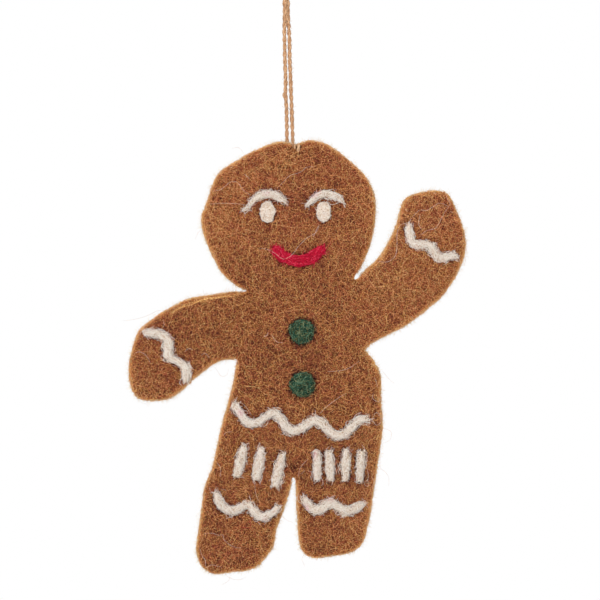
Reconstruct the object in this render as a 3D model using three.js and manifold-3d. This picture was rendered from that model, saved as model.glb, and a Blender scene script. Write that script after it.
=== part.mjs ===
// A gingerbread figure cut from thick wool felt, with icing and a face of needle-felted wool,
// hung on a loop of jute twine that is sewn through the top of its head.
// Millimetres. X runs to the viewer's right, Z up, and the figure faces -Y.
// The origin is the point of a hook or twig that the loop hangs from.
import * as THREE from "three";
import { mergeVertices } from "three/addons/utils/BufferGeometryUtils.js";
import Module from "manifold-3d";

// Sizes of the twine
const twineDiameter = 1.0;
const loopDrop = 17; // from the hook down to the middle of the knot
const loopWidth = 7.5; // between the middles of the loop's two sides
const strandDrop = 45; // from the middle of the knot down to the top of the head
const strandParting = 0.65; // clear between the two strands where they enter the head
const strandPressTurn = 43; // degrees by which one strand lies in front of the other at the knot
const knotCoil = 0.9; // between the knot's middle and the inside of its turns, twice over
const knotLift = 0.6; // how far its turns pass over and under each other
const seatGap = 0.3; // left between pieces that touch

// Sizes of the felt figure
const feltThickness = 5;
const edgeRound = 1.2; // how far its cut edge is worn round
const headWidth = 50;
const headHeight = 44;
const headShift = 0.6; // of the head's middle from the knot, to the right
const torsoWidth = 36.5;
const torsoHeight = 52;
const torsoShift = 4.2; // of the torso's middle from the knot, to the right
const leftArmLength = 34.5;
const leftArmWidth = 20.8;
const leftArmTurn = -157.5; // degrees up from pointing right
const rightArmLength = 43;
const rightArmWidth = 19;
const rightArmTurn = 54;
const leftLegLength = 39;
const leftLegWidth = 21.3;
const leftLegTurn = -100.5;
const rightLegLength = 33.8;
const rightLegWidth = 21.9;
const rightLegTurn = -92.5;

// Sizes of the wool that is felted on to it
const icingWidth = 2.9; // of the waves and cuffs at their widest
const icingRise = 0.9; // how far it stands proud
const stripeWidth = 2.7;
const browWidth = 2.7;
const eyeWidth = 4.6;
const eyeHeight = 6.4;
const eyeRise = 0.9;
const mouthWidth = 3.5;
const mouthRise = 0.7;
const buttonDiameter = 7.3;
const buttonRise = 1.0;
const stitchLength = 1.9;

// Fineness of the surfaces
const outlineStepShare = 0.34; // of the felt's thickness, along the cut edge
const stripStepShare = 0.44; // of a strip's width, along it
const twineStepShare = 2.4; // of the twine's diameter
const knotSteps = 14; // along each third of the knot
const edgeSteps = 3;
const beadSides = 6; // round the crown of a strip of wool
const twineSides = 8;
const padSides = 28;
const padSteps = 5;

const frontY = -feltThickness / 2;
const knotZ = -loopDrop;
const figureTop = knotZ - strandDrop;
const strandEntryShare = 0.007; // of the head's width, from its middle to midway between the strands
const twistX = headShift + strandEntryShare * headWidth;

// Colours of the wool and the twine
const feltBrown = 0x96572e;
const icingWhite = 0xe6dcd4;
const lipRed = 0xbe1e3c;
const buttonGreen = 0x2c5f49;
const twineTan = 0xc9996a;

function material(color) {
  return new THREE.MeshStandardMaterial({ color, roughness: 0.95, metalness: 0 });
}

function mesh(name, geometry, color) {
  const piece = new THREE.Mesh(geometry, material(color));
  piece.name = name;
  return piece;
}

// A limb's frame turns shares of its length and width into places in the XZ plane.
// The length runs along its turn, and the width a quarter turn anticlockwise from that.
function limbFrame(root, turn, length, width) {
  const along = new THREE.Vector2(1, 0).rotateAround(new THREE.Vector2(), THREE.MathUtils.degToRad(turn));
  const across = new THREE.Vector2(-along.y, along.x);
  const at = (alongShare, acrossShare) =>
    root.clone().addScaledVector(along, alongShare * length).addScaledVector(across, acrossShare * width);
  const all = (shares) => shares.map(([a, b]) => at(a, b));
  return { at, all };
}

const head = limbFrame(new THREE.Vector2(headShift, 0), -90, headHeight, headWidth);
const torso = limbFrame(new THREE.Vector2(torsoShift, -headHeight), -90, torsoHeight, torsoWidth);
const leftArm = limbFrame(torso.at(0.18, -0.47), leftArmTurn, leftArmLength, leftArmWidth);
const rightArm = limbFrame(torso.at(0.117, 0.46), rightArmTurn, rightArmLength, rightArmWidth);
const leftLeg = limbFrame(torso.at(0.814, -0.34), leftLegTurn, leftLegLength, leftLegWidth);
const rightLeg = limbFrame(torso.at(0.814, 0.294), rightLegTurn, rightLegLength, rightLegWidth);

// The cut edge, anticlockwise from the dimple that the twine pulls into the top of the head.
// Each row is a share of the limb's length and of its width.
const dimpleShares = [0.032, 0.047];
const headLeftShares = [
  [0.02, 0.01], [0.01, -0.05], [0.032, -0.12], [0.085, -0.222], [0.153, -0.32], [0.205, -0.39],
  [0.285, -0.433], [0.395, -0.462], [0.503, -0.498], [0.6, -0.489], [0.73, -0.441], [0.868, -0.378],
  [0.928, -0.32],
];
const leftNeckShares = [0.99, -0.248];
const leftArmShares = [
  [0, -0.49], [0.164, -0.556], [0.312, -0.612], [0.478, -0.6], [0.676, -0.536], [0.8, -0.467],
  [0.893, -0.318], [0.988, -0.082], [1.04, 0.167], [1.033, 0.36], [0.93, 0.478], [0.783, 0.542],
  [0.683, 0.508], [0.555, 0.428], [0.43, 0.367], [0.313, 0.328], [0.218, 0.345],
];
const leftArmpitShares = [0.369, -0.5];
const torsoLeftShares = [[0.48, -0.525], [0.615, -0.57], [0.758, -0.627]];
const leftLegShares = [
  [0.13, -0.522], [0.28, -0.533], [0.42, -0.58], [0.548, -0.572], [0.733, -0.553], [0.897, -0.533],
  [0.988, -0.445], [1.035, -0.276], [1, -0.04], [0.938, 0.262], [0.85, 0.374], [0.757, 0.45],
  [0.646, 0.447], [0.513, 0.492], [0.378, 0.528], [0.248, 0.546],
];
const crotchShares = [1, -0.052];
const rightLegShares = [
  [0.424, -0.512], [0.612, -0.487], [0.867, -0.44], [0.965, -0.395], [1.013, -0.25], [0.987, 0],
  [0.948, 0.26], [0.873, 0.378], [0.706, 0.435], [0.448, 0.484], [0.113, 0.534],
];
const torsoRightShares = [[0.731, 0.639], [0.592, 0.626], [0.447, 0.617], [0.385, 0.575]];
const rightArmpitShares = [0.314, 0.494];
const rightArmShares = [
  [-0.1, -0.412], [0.017, -0.55], [0.126, -0.665], [0.275, -0.765], [0.414, -0.845], [0.536, -0.853],
  [0.671, -0.803], [0.763, -0.728], [0.853, -0.56], [0.934, -0.296], [0.992, -0.047], [0.98, 0.12],
  [0.895, 0.332], [0.81, 0.447], [0.723, 0.403], [0.628, 0.322], [0.506, 0.27], [0.382, 0.25],
  [0.274, 0.304],
];
const rightNeckShares = [0.905, 0.385];
const headRightShares = [
  [0.794, 0.428], [0.69, 0.464], [0.565, 0.49], [0.441, 0.5], [0.327, 0.483], [0.239, 0.44],
  [0.157, 0.368], [0.074, 0.281], [0.022, 0.206], [0, 0.136], [0.012, 0.084],
];

// The icing and the mouth. Each row is a share along, a share across and a share of the strip's width.
const leftBrowShares = [
  [0.461, -0.262, 0.15], [0.428, -0.225, 0.42], [0.392, -0.199, 0.75], [0.366, -0.17, 0.95],
  [0.352, -0.129, 1], [0.357, -0.089, 0.98], [0.379, -0.048, 0.9], [0.405, -0.014, 0.5],
];
const rightBrowShares = [
  [0.431, 0.105, 0.45], [0.399, 0.13, 0.72], [0.37, 0.162, 0.82], [0.353, 0.197, 0.93],
  [0.354, 0.237, 0.95], [0.369, 0.275, 0.88], [0.392, 0.304, 0.7], [0.414, 0.321, 0.35],
];
const mouthShares = [
  [0.704, -0.08, 0.3], [0.742, -0.05, 0.7], [0.771, -0.011, 0.86], [0.786, 0.027, 0.96],
  [0.79, 0.064, 1], [0.778, 0.107, 0.98], [0.755, 0.148, 0.9], [0.725, 0.182, 0.7], [0.697, 0.213, 0.3],
];
const leftCuffShares = [
  [0.778, -0.418, 0.5], [0.716, -0.375, 0.85], [0.658, -0.315, 0.88], [0.622, -0.23, 0.92],
  [0.626, -0.137, 0.98], [0.65, -0.06, 0.96], [0.658, 0.015, 0.94], [0.63, 0.088, 0.8],
  [0.59, 0.155, 0.8], [0.57, 0.246, 0.95], [0.585, 0.348, 1], [0.612, 0.435, 0.55],
];
const rightCuffShares = [
  [0.689, 0.2, 0.5], [0.648, 0.118, 0.8], [0.611, 0.034, 0.82], [0.598, -0.054, 0.9],
  [0.617, -0.138, 0.92], [0.644, -0.205, 0.85], [0.645, -0.291, 0.9], [0.63, -0.379, 0.92],
  [0.624, -0.475, 0.94], [0.65, -0.56, 0.88], [0.685, -0.635, 0.8], [0.698, -0.71, 0.45],
];
const waistShares = [
  [0.617, -0.524, 0.7], [0.662, -0.482, 0.85], [0.708, -0.437, 0.95], [0.725, -0.381, 0.9],
  [0.706, -0.317, 0.82], [0.676, -0.262, 0.86], [0.668, -0.206, 0.9], [0.694, -0.16, 0.88],
  [0.738, -0.121, 0.92], [0.764, -0.073, 1], [0.759, -0.016, 0.95], [0.732, 0.04, 0.92],
  [0.706, 0.097, 1], [0.721, 0.159, 0.95], [0.761, 0.218, 0.92], [0.788, 0.278, 0.95],
  [0.784, 0.341, 0.92], [0.751, 0.397, 0.9], [0.711, 0.446, 0.85], [0.696, 0.493, 0.7],
  [0.708, 0.53, 0.35],
];
const leftHemShares = [
  [0.431, -0.423, 0.6], [0.49, -0.378, 0.92], [0.537, -0.286, 1], [0.548, -0.175, 1],
  [0.525, -0.08, 0.95], [0.492, -0.003, 0.85], [0.495, 0.062, 0.85], [0.533, 0.144, 0.9],
  [0.553, 0.239, 0.95], [0.535, 0.331, 0.9], [0.492, 0.403, 0.75], [0.457, 0.447, 0.4],
];
const rightHemShares = [
  [0.503, -0.428, 0.6], [0.553, -0.367, 0.92], [0.598, -0.296, 1], [0.607, -0.217, 1],
  [0.574, -0.14, 1], [0.54, -0.062, 0.95], [0.562, 0.015, 0.92], [0.597, 0.099, 0.95],
  [0.6, 0.191, 0.95], [0.569, 0.285, 0.92], [0.53, 0.37, 0.45],
];

// The leg stripes, each from its top to its foot, as shares along and across the leg
const leftStripeShares = [
  [[0.058, -0.166], [0.298, -0.193]],
  [[0.049, 0.072], [0.297, 0.075]],
  [[0.062, 0.363], [0.322, 0.344]],
];
const rightStripeShares = [
  [[0.1, -0.27], [0.352, -0.253]],
  [[0.095, -0.112], [0.353, -0.076]],
  [[0.074, 0.11], [0.351, 0.122]],
  [[0.081, 0.315], [0.35, 0.306]],
];
const stripeEndShares = [0.72, 1, 0.98, 0.76]; // of the stripe's width, at its ends and a third in from them
const eyeShares = { left_eye: [0.467, -0.121], right_eye: [0.466, 0.203] };
const buttonShares = { upper_button: [0.214, 0.008], lower_button: [0.507, 0.013] };
const stitchShares = [0.049, 0.058];

// One stretch of the cut edge, smooth through its points, without its last point
function edgeStretch(points) {
  const curve = new THREE.CatmullRomCurve3(points.map((p) => new THREE.Vector3(p.x, p.y, 0)), false, "centripetal");
  const steps = Math.ceil(curve.getLength() / (outlineStepShare * feltThickness));
  return curve.getSpacedPoints(steps).slice(0, -1).map((p) => new THREE.Vector2(p.x, p.y));
}

// The figure's whole outline: smooth stretches that meet at the neck, the armpits and the crotch
function figureOutline() {
  const dimple = head.at(...dimpleShares);
  const leftNeck = head.at(...leftNeckShares);
  const leftArmpit = torso.at(...leftArmpitShares);
  const crotch = torso.at(...crotchShares);
  const rightArmpit = torso.at(...rightArmpitShares);
  const rightNeck = head.at(...rightNeckShares);
  return [
    [dimple, ...head.all(headLeftShares), leftNeck],
    [leftNeck, ...leftArm.all(leftArmShares), leftArmpit],
    [leftArmpit, ...torso.all(torsoLeftShares), ...leftLeg.all(leftLegShares), crotch],
    [crotch, ...rightLeg.all(rightLegShares), ...torso.all(torsoRightShares), rightArmpit],
    [rightArmpit, ...rightArm.all(rightArmShares), rightNeck],
    [rightNeck, ...head.all(headRightShares), dimple],
  ].flatMap(edgeStretch);
}

// Turns a shape drawn in XY and raised along Z to stand in XZ and face -Y
const standUp = new THREE.Matrix4().set(1, 0, 0, 0, 0, 0, -1, 0, 0, 1, 0, 0, 0, 0, 0, 1);

// The felt slab: flat front and back, with its cut edge worn round
function feltSlab() {
  const geometry = new THREE.ExtrudeGeometry(new THREE.Shape(figureOutline()), {
    depth: feltThickness - 2 * edgeRound,
    bevelThickness: edgeRound,
    bevelSize: edgeRound,
    bevelOffset: -edgeRound,
    bevelSegments: edgeSteps,
    curveSegments: 1,
  });
  geometry.translate(0, 0, edgeRound - feltThickness / 2);
  return geometry.applyMatrix4(standUp);
}

// Joins rings of equally many points into one closed skin that faces outwards
function skin(rings) {
  const sides = rings[0].length;
  const points = rings.flat();
  const faces = [];
  for (let r = 0; r + 1 < rings.length; r += 1) {
    const here = r * sides;
    const there = here + sides;
    for (let i = 0; i < sides; i += 1) {
      const next = (i + 1) % sides;
      faces.push([here + i, here + next, there + next], [here + i, there + next, there + i]);
    }
  }
  const end = points.length - sides;
  for (let i = 1; i + 1 < sides; i += 1) {
    faces.push([0, i + 1, i], [end, end + i, end + i + 1]);
  }
  const volume = faces.reduce((sum, [a, b, c]) => {
    const normal = new THREE.Vector3().crossVectors(points[b], points[c]);
    return sum + points[a].dot(normal);
  }, 0);
  const outward = volume > 0 ? faces : faces.map(([a, b, c]) => [a, c, b]);
  const geometry = new THREE.BufferGeometry().setFromPoints(points);
  geometry.setIndex(outward.flat());
  return geometry;
}

// A strip of wool roving, felted on to the front: flat behind and crowned in front.
// Its rows hold a share along, a share across and a share of the strip's width.
function strip(limb, rows, width, rise) {
  const curve = new THREE.CatmullRomCurve3(
    rows.map(([a, b, share]) => {
      const place = limb.at(a, b);
      return new THREE.Vector3(place.x, place.y, share * width);
    }),
    false,
    "centripetal",
  );
  const steps = Math.ceil(curve.getLength() / (stripStepShare * width));
  const places = curve.getSpacedPoints(steps);
  const rings = places.map((place, i) => {
    const before = places[Math.max(i - 1, 0)];
    const after = places[Math.min(i + 1, steps)];
    const side = new THREE.Vector2(before.y - after.y, after.x - before.x).normalize();
    const crown = rise * Math.min(place.z / width, 1);
    return Array.from({ length: beadSides + 1 }, (_, k) => {
      const turn = (Math.PI * k) / beadSides;
      const reach = (Math.cos(turn) * place.z) / 2;
      const proud = k === beadSides ? 0 : crown * Math.sin(turn);
      return new THREE.Vector3(place.x + side.x * reach, frontY - proud, place.y + side.y * reach);
    });
  });
  return skin(rings);
}

// A straight stripe between two places on a leg
function stripe(limb, [top, foot]) {
  const rows = stripeEndShares.map((share, i) => {
    const t = i / (stripeEndShares.length - 1);
    return [THREE.MathUtils.lerp(top[0], foot[0], t), THREE.MathUtils.lerp(top[1], foot[1], t), share];
  });
  return strip(limb, rows, stripeWidth, icingRise);
}

// A felted pad: a low oval dome, flat behind
function pad(place, width, height, rise) {
  const profile = [new THREE.Vector2(0, 0)];
  for (let i = 0; i < padSteps; i += 1) {
    const turn = (Math.PI / 2) * (i / padSteps);
    profile.push(new THREE.Vector2(Math.cos(turn), Math.sin(turn)));
  }
  profile.push(new THREE.Vector2(0, 1));
  const geometry = new THREE.LatheGeometry(profile, padSides);
  geometry.scale(width / 2, rise, height / 2);
  geometry.applyMatrix4(new THREE.Matrix4().makeScale(1, -1, -1));
  geometry.translate(place.x, frontY, place.y);
  return geometry;
}

// A run of twine along a route, with square ends
function twineRun(route) {
  const curve = new THREE.CatmullRomCurve3(route, false, "centripetal");
  const section = new THREE.Shape(
    Array.from({ length: twineSides }, (_, i) => {
      const turn = (2 * Math.PI * i) / twineSides;
      return new THREE.Vector2(Math.cos(turn), Math.sin(turn)).multiplyScalar(twineDiameter / 2);
    }),
  );
  return new THREE.ExtrudeGeometry(section, {
    steps: Math.ceil(curve.getLength() / (twineStepShare * twineDiameter)),
    extrudePath: curve,
    bevelEnabled: false,
  });
}

// The knot's reach, which the ends of the loop and the strands keep clear of however they turn
const knotReach = 1.5 * knotCoil + twineDiameter / 2;

// The strands, from the knot down into the head, as shares of the drop, of the lean to the right
// and of the spread between them. Near the knot they press together, one a little in front.
const strandShares = [
  [0, 0, 0], [0.06, 0, 0.03], [0.12, 0.02, 0.12], [0.18, 0.04, 0.24], [0.24, 0.12, 0.42],
  [0.31, 0.2, 0.56], [0.38, 0.25, 0.57], [0.45, 0.28, 0.55], [0.52, 0.34, 0.55], [0.58, 0.43, 0.56],
  [0.65, 0.57, 0.68], [0.72, 0.7, 0.8], [0.79, 0.75, 0.83], [0.86, 0.8, 0.85], [0.93, 0.89, 0.92],
  [1, 1, 1],
];
const strandFootShares = { left_strand: 0.004, right_strand: 0.01 }; // of the head's height, below its top

function strand(name, side) {
  const topZ = knotZ - knotReach - seatGap;
  const footZ = figureTop - strandFootShares[name] * headHeight;
  const pressed = new THREE.Vector2((side * (twineDiameter + seatGap)) / 2, 0);
  pressed.rotateAround(new THREE.Vector2(), THREE.MathUtils.degToRad(strandPressTurn));
  const partedX = (side * (twineDiameter + strandParting)) / 2;
  return twineRun(
    strandShares.map(([down, lean, spread]) => {
      const x = lean * twistX + THREE.MathUtils.lerp(pressed.x, partedX, spread);
      return new THREE.Vector3(x, pressed.y * (1 - spread), THREE.MathUtils.lerp(topZ, footZ, down));
    }),
  );
}

// The open loop above the knot, up one side, over the hook and down the other, as shares of its
// rise and of how far it opens
const loopShares = [[0, 0], [0.12, 0.04], [0.3, 0.42], [0.52, 0.85], [0.7, 1], [0.86, 0.78], [0.965, 0.34]];
function hangingLoop() {
  const footZ = knotZ + knotReach + seatGap;
  const crownZ = twineDiameter / 2;
  const side = (sign) =>
    loopShares.map(([up, out]) => {
      const x = THREE.MathUtils.lerp(twineDiameter + seatGap, loopWidth, out) / 2;
      return new THREE.Vector3(sign * x, 0, THREE.MathUtils.lerp(footZ, crownZ, up));
    });
  return twineRun([...side(-1), new THREE.Vector3(0, 0, crownZ), ...side(1).reverse()]);
}

const wasm = await Module();
wasm.setup();

function solid(geometry) {
  const bare = geometry.clone();
  bare.deleteAttribute("normal");
  bare.deleteAttribute("uv");
  const merged = mergeVertices(bare);
  const vertProperties = merged.attributes.position.array;
  const triVerts = new Uint32Array(merged.index.array);
  return new wasm.Manifold(new wasm.Mesh({ numProp: 3, vertProperties, triVerts }));
}

function geometryOf(body) {
  const { vertProperties, triVerts } = body.getMesh();
  const geometry = new THREE.BufferGeometry();
  geometry.setAttribute("position", new THREE.BufferAttribute(vertProperties, 3));
  geometry.setIndex(new THREE.BufferAttribute(triVerts, 1));
  return geometry;
}

// One third of the knot: the twine goes round its middle and passes under and over the other thirds
function knotThird(third) {
  const middle = (turn) =>
    new THREE.Vector3(
      (knotCoil / 2) * (Math.sin(turn) + 2 * Math.sin(2 * turn)),
      -knotLift * Math.sin(3 * turn),
      (knotCoil / 2) * (Math.cos(turn) - 2 * Math.cos(2 * turn)),
    );
  const sweep = (2 * Math.PI) / 3;
  const step = sweep / knotSteps;
  const rings = Array.from({ length: knotSteps + 2 }, (_, i) => {
    const turn = third * sweep + (i - 0.5) * step;
    const here = middle(turn);
    const along = middle(turn + step).sub(middle(turn - step)).normalize();
    const across = new THREE.Vector3().crossVectors(along, here).normalize();
    const up = new THREE.Vector3().crossVectors(across, along);
    return Array.from({ length: twineSides }, (_, k) => {
      const round = (2 * Math.PI * k) / twineSides;
      return here
        .clone()
        .addScaledVector(across, (Math.cos(round) * twineDiameter) / 2)
        .addScaledVector(up, (Math.sin(round) * twineDiameter) / 2);
    });
  });
  return solid(skin(rings));
}

// The knot: three pulled-tight turns of twine, pressed into each other and round a tight core
function overhandKnot() {
  const core = solid(new THREE.IcosahedronGeometry(knotCoil, 1));
  const body = [0, 1, 2].map(knotThird).reduce((sum, third) => sum.add(third), core);
  return geometryOf(body).translate(0, 0, knotZ);
}

// The bit of twine that shows on the front, where it is sewn through the head
function headStitch() {
  const [down, across] = stitchShares;
  const half = stitchLength / 2 / headHeight;
  const rows = [[down - half, across, 0.6], [down, across, 1], [down + half, across, 0.6]];
  return strip(head, rows, twineDiameter, twineDiameter / 2);
}

const figure = new THREE.Group();
figure.position.z = figureTop;
figure.add(mesh("felt_body", feltSlab(), feltBrown));
for (const [name, [down, across]] of Object.entries(eyeShares)) {
  figure.add(mesh(name, pad(head.at(down, across), eyeWidth, eyeHeight, eyeRise), icingWhite));
}
for (const [name, [down, across]] of Object.entries(buttonShares)) {
  const round = pad(torso.at(down, across), buttonDiameter, buttonDiameter, buttonRise);
  figure.add(mesh(name, round, buttonGreen));
}
figure.add(
  mesh("left_brow", strip(head, leftBrowShares, browWidth, icingRise), icingWhite),
  mesh("right_brow", strip(head, rightBrowShares, browWidth, icingRise), icingWhite),
  mesh("mouth", strip(head, mouthShares, mouthWidth, mouthRise), lipRed),
  mesh("left_cuff_icing", strip(leftArm, leftCuffShares, icingWidth, icingRise), icingWhite),
  mesh("right_cuff_icing", strip(rightArm, rightCuffShares, icingWidth, icingRise), icingWhite),
  mesh("waist_icing", strip(torso, waistShares, icingWidth, icingRise), icingWhite),
  mesh("left_hem_icing", strip(leftLeg, leftHemShares, icingWidth, icingRise), icingWhite),
  mesh("right_hem_icing", strip(rightLeg, rightHemShares, icingWidth, icingRise), icingWhite),
  mesh("head_stitch", headStitch(), twineTan),
);
leftStripeShares.forEach((ends, i) => {
  figure.add(mesh(`left_leg_stripe_${i + 1}`, stripe(leftLeg, ends), icingWhite));
});
rightStripeShares.forEach((ends, i) => {
  figure.add(mesh(`right_leg_stripe_${i + 1}`, stripe(rightLeg, ends), icingWhite));
});

const ornament = new THREE.Group();
ornament.add(
  figure,
  mesh("left_strand", strand("left_strand", -1), twineTan),
  mesh("right_strand", strand("right_strand", 1), twineTan),
  mesh("loop_knot", overhandKnot(), twineTan),
  mesh("hanging_loop", hangingLoop(), twineTan),
);

export default ornament;
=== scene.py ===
# A gingerbread figure of thick wool felt on a loop of jute twine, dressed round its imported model.
# Metres, with +Z up. The figure faces -Y, and left and right are the viewer's.
import math
from functools import partial

import bpy
import numpy as np
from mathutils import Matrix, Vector, noise
from mathutils.bvhtree import BVHTree


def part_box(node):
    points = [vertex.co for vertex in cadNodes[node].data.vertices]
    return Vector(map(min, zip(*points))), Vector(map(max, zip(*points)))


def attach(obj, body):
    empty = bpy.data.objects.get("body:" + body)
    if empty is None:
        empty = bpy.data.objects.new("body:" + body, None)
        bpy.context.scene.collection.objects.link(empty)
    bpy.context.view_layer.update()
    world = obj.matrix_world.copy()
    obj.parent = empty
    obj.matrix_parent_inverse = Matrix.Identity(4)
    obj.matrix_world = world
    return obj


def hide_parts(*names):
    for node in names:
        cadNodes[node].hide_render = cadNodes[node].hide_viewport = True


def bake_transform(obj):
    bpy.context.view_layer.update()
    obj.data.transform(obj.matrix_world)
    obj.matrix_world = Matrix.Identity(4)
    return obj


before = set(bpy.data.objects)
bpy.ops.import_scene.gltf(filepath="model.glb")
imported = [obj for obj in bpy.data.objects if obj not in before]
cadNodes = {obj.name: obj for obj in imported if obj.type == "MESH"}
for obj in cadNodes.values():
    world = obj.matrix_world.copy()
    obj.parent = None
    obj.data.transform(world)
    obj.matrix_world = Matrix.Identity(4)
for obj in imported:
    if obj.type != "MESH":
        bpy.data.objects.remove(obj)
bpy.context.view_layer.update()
mm = 0.001
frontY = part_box("felt_body")[0].y
print("frame loaded:", len(cadNodes), "nodes")


# Small helpers

# Short names for the kinds of node that come most
kinds = {
    "math": "ShaderNodeMath", "vectors": "ShaderNodeVectorMath", "range": "ShaderNodeMapRange",
    "xyz": "ShaderNodeCombineXYZ", "noise": "ShaderNodeTexNoise", "field": "ShaderNodeAttribute",
    "named": "GeometryNodeInputNamedAttribute", "store": "GeometryNodeStoreNamedAttribute",
    "place": "GeometryNodeInputPosition", "along": "GeometryNodeSplineParameter",
    "move": "GeometryNodeSetPosition",
}


# Adds a node. Links are its inputs, in order or by name: a node stands for its first output.
def addNode(tree, kind, links=(), operation=None, **settings):
    node = tree.nodes.new(kinds.get(kind, kind))
    if operation:
        node.operation = operation
    for name, value in settings.items():
        setattr(node, name, value)
    for key, value in links.items() if isinstance(links, dict) else enumerate(links):
        if isinstance(value, bpy.types.Node):
            value = value.outputs[0]
        if isinstance(value, bpy.types.NodeSocket):
            tree.links.new(value, node.inputs[key])
        else:
            node.inputs[key].default_value = value
    return node


def hexColour(code):
    parts = [int(code[i : i + 2], 16) / 255 for i in (1, 3, 5)]
    return tuple(c / 12.92 if c <= 0.04045 else ((c + 0.055) / 1.055) ** 2.4 for c in parts) + (1.0,)


def linked(piece):
    bpy.context.scene.collection.objects.link(piece)
    return piece


def meshPiece(name, points, edges=(), faces=()):
    mesh = bpy.data.meshes.new(name)
    mesh.from_pydata([tuple(p) for p in points], list(edges), list(faces))
    mesh.update()
    return linked(bpy.data.objects.new(name, mesh))


def dropPiece(piece):
    mesh = piece.data
    bpy.data.objects.remove(piece)
    bpy.data.meshes.remove(mesh)


# The mesh that a piece's modifiers make, as a new plain piece
def settled(piece, name):
    graph = bpy.context.evaluated_depsgraph_get()
    mesh = bpy.data.meshes.new_from_object(
        piece.evaluated_get(graph), preserve_all_data_layers=True, depsgraph=graph
    )
    mesh.name = name
    piece.modifiers.clear()
    return linked(bpy.data.objects.new(name, mesh))


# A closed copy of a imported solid, in small even faces
def remeshed(node, name, grain):
    piece = linked(bpy.data.objects.new("source", cadNodes[node].data.copy()))
    piece.data.materials.clear()
    piece.modifiers.new("weld", "WELD").merge_threshold = 1e-6
    remesh = piece.modifiers.new("remesh", "REMESH")
    remesh.mode = "VOXEL"
    remesh.voxel_size = grain
    made = settled(piece, name)
    dropPiece(piece)
    return made


def cornersOf(mesh, kind="co"):
    found = np.empty(len(mesh.vertices) * 3, np.float32)
    mesh.vertices.foreach_get(kind, found)
    return found.reshape(-1, 3)


def moveCorners(mesh, places):
    mesh.vertices.foreach_set("co", np.asarray(places, np.float32).ravel())
    mesh.update()


def keepNumbers(mesh, name, values):
    flat = np.asarray(values, np.float32)
    kind, key = ("FLOAT", "value") if flat.ndim == 1 else ("FLOAT_VECTOR", "vector")
    field = mesh.attributes.get(name) or mesh.attributes.new(name, kind, "POINT")
    field.data.foreach_set(key, flat.ravel())


def forgetNumbers(mesh, names):
    for name in names:
        field = mesh.attributes.get(name)
        if field:
            mesh.attributes.remove(field)


# Where a mesh's corners are, which way they face, and how much of that is to the front
def surfaceOf(mesh):
    normals = cornersOf(mesh, "normal")
    return cornersOf(mesh), normals, -normals[:, 1]


# How far each of these places in XZ is from each spot
def spans(places, spots):
    return np.linalg.norm(places[:, None] - spots[None], axis=2)


def fading(away, reach):
    return np.exp(-((away / reach) ** 2))


# Smooth noise from -1 to 1 at each place, with bumps of about this size
def lumps(places, size, seed):
    shift = Vector((seed * 0.37, seed * 0.71, seed * 0.13))
    return np.array([noise.noise(Vector(p) / size + shift) for p in places.tolist()])


# A smooth route through given points, at short even steps
def smoothRoute(points, step):
    points = [Vector(p) for p in points]
    padded = [2 * points[0] - points[1], *points, 2 * points[-1] - points[-2]]
    route = []
    for a, b, c, d in zip(padded, padded[1:], padded[2:], padded[3:]):
        count = max(2, round((c - b).length / step))
        for i in range(count):
            t = i / count
            curve = 2 * b + (c - a) * t + (2 * a - 5 * b + 4 * c - d) * t * t
            route.append((curve + (3 * b - a - 3 * c + d) * t**3) / 2)
    return [*route, points[-1]]


def joined(name, pieces):
    for piece in pieces:
        piece.select_set(True)
    with bpy.context.temp_override(
        active_object=pieces[0], selected_objects=pieces, selected_editable_objects=pieces
    ):
        bpy.ops.object.join()
    pieces[0].name = pieces[0].data.name = name
    pieces[0].select_set(False)
    return pieces[0]


def trianglesOf(piece):
    return sum(len(face.vertices) - 2 for face in piece.data.polygons)


# The camera: level and square on to the figure's front, from far enough to keep its proportions

photo = {
    "pixels": 600,
    "pixelSize": 0.2884 * mm,  # on the figure's front
    "middleX": 3.95 * mm,
    "middleZ": -108.0 * mm,
    "lens": 120.0,
    "sensor": 36.0,
}


def makeCamera():
    data = bpy.data.cameras.new("camera")
    data.lens = photo["lens"]
    data.sensor_width = photo["sensor"]
    camera = linked(bpy.data.objects.new("camera", data))
    distance = photo["pixels"] * photo["pixelSize"] * photo["lens"] / photo["sensor"]
    camera.location = (photo["middleX"], frontY - distance, photo["middleZ"])
    camera.rotation_euler = (math.pi / 2, 0, 0)
    bpy.context.scene.camera = camera


# A place on the figure's front, by its pixel in the picture
def onPhoto(x, y, proud=0.0):
    half = photo["pixels"] / 2
    across = photo["middleX"] + (x - half) * photo["pixelSize"]
    up = photo["middleZ"] - (y - half) * photo["pixelSize"]
    return Vector((across, frontY - proud, up))


makeCamera()
print("camera placed")


# Trees of nodes that lay twine and wool

# Their inputs that are lengths, which the settings below give in millimetres
lengths = (
    "Shortest", "Longest", "Thickness", "Wander", "WanderSize", "Bow", "Lowest", "Highest",
    "PlyRadius", "PlyOffset", "Lay", "Step", "SlubSize",
)
fibreLook = {
    "tip": 0.15,  # of its thickness
    "taper": 0.7,
    "spacing": 0.72,  # the least, of that of an even scatter
    "seedStep": 31.0,
    "patch": 16 * mm,  # between lighter and darker parts of a piece
    "weave": 0.5 * mm,  # between places where a fibre goes over others and under them
    "under": 0.2,  # of its height, and over
    "over": 1.6,
    # painted light and shade of the weave: how much a fibre's tone rises where it is over others and falls
    # where under
    "shade": 0.17,
    "drop": 20 * mm,  # from where fibres are draped
}


def newTree(name, **sockets):
    tree = bpy.data.node_groups.new(name, "GeometryNodeTree")
    tree.interface.new_socket(name="Geometry", in_out="OUTPUT", socket_type="NodeSocketGeometry")
    for kind, labels in {"Geometry": "Geometry", **sockets}.items():
        for label in labels.split():
            tree.interface.new_socket(name=label, in_out="INPUT", socket_type="NodeSocket" + kind)
    return tree, tree.nodes.new("NodeGroupInput").outputs, partial(addNode, tree)


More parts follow.
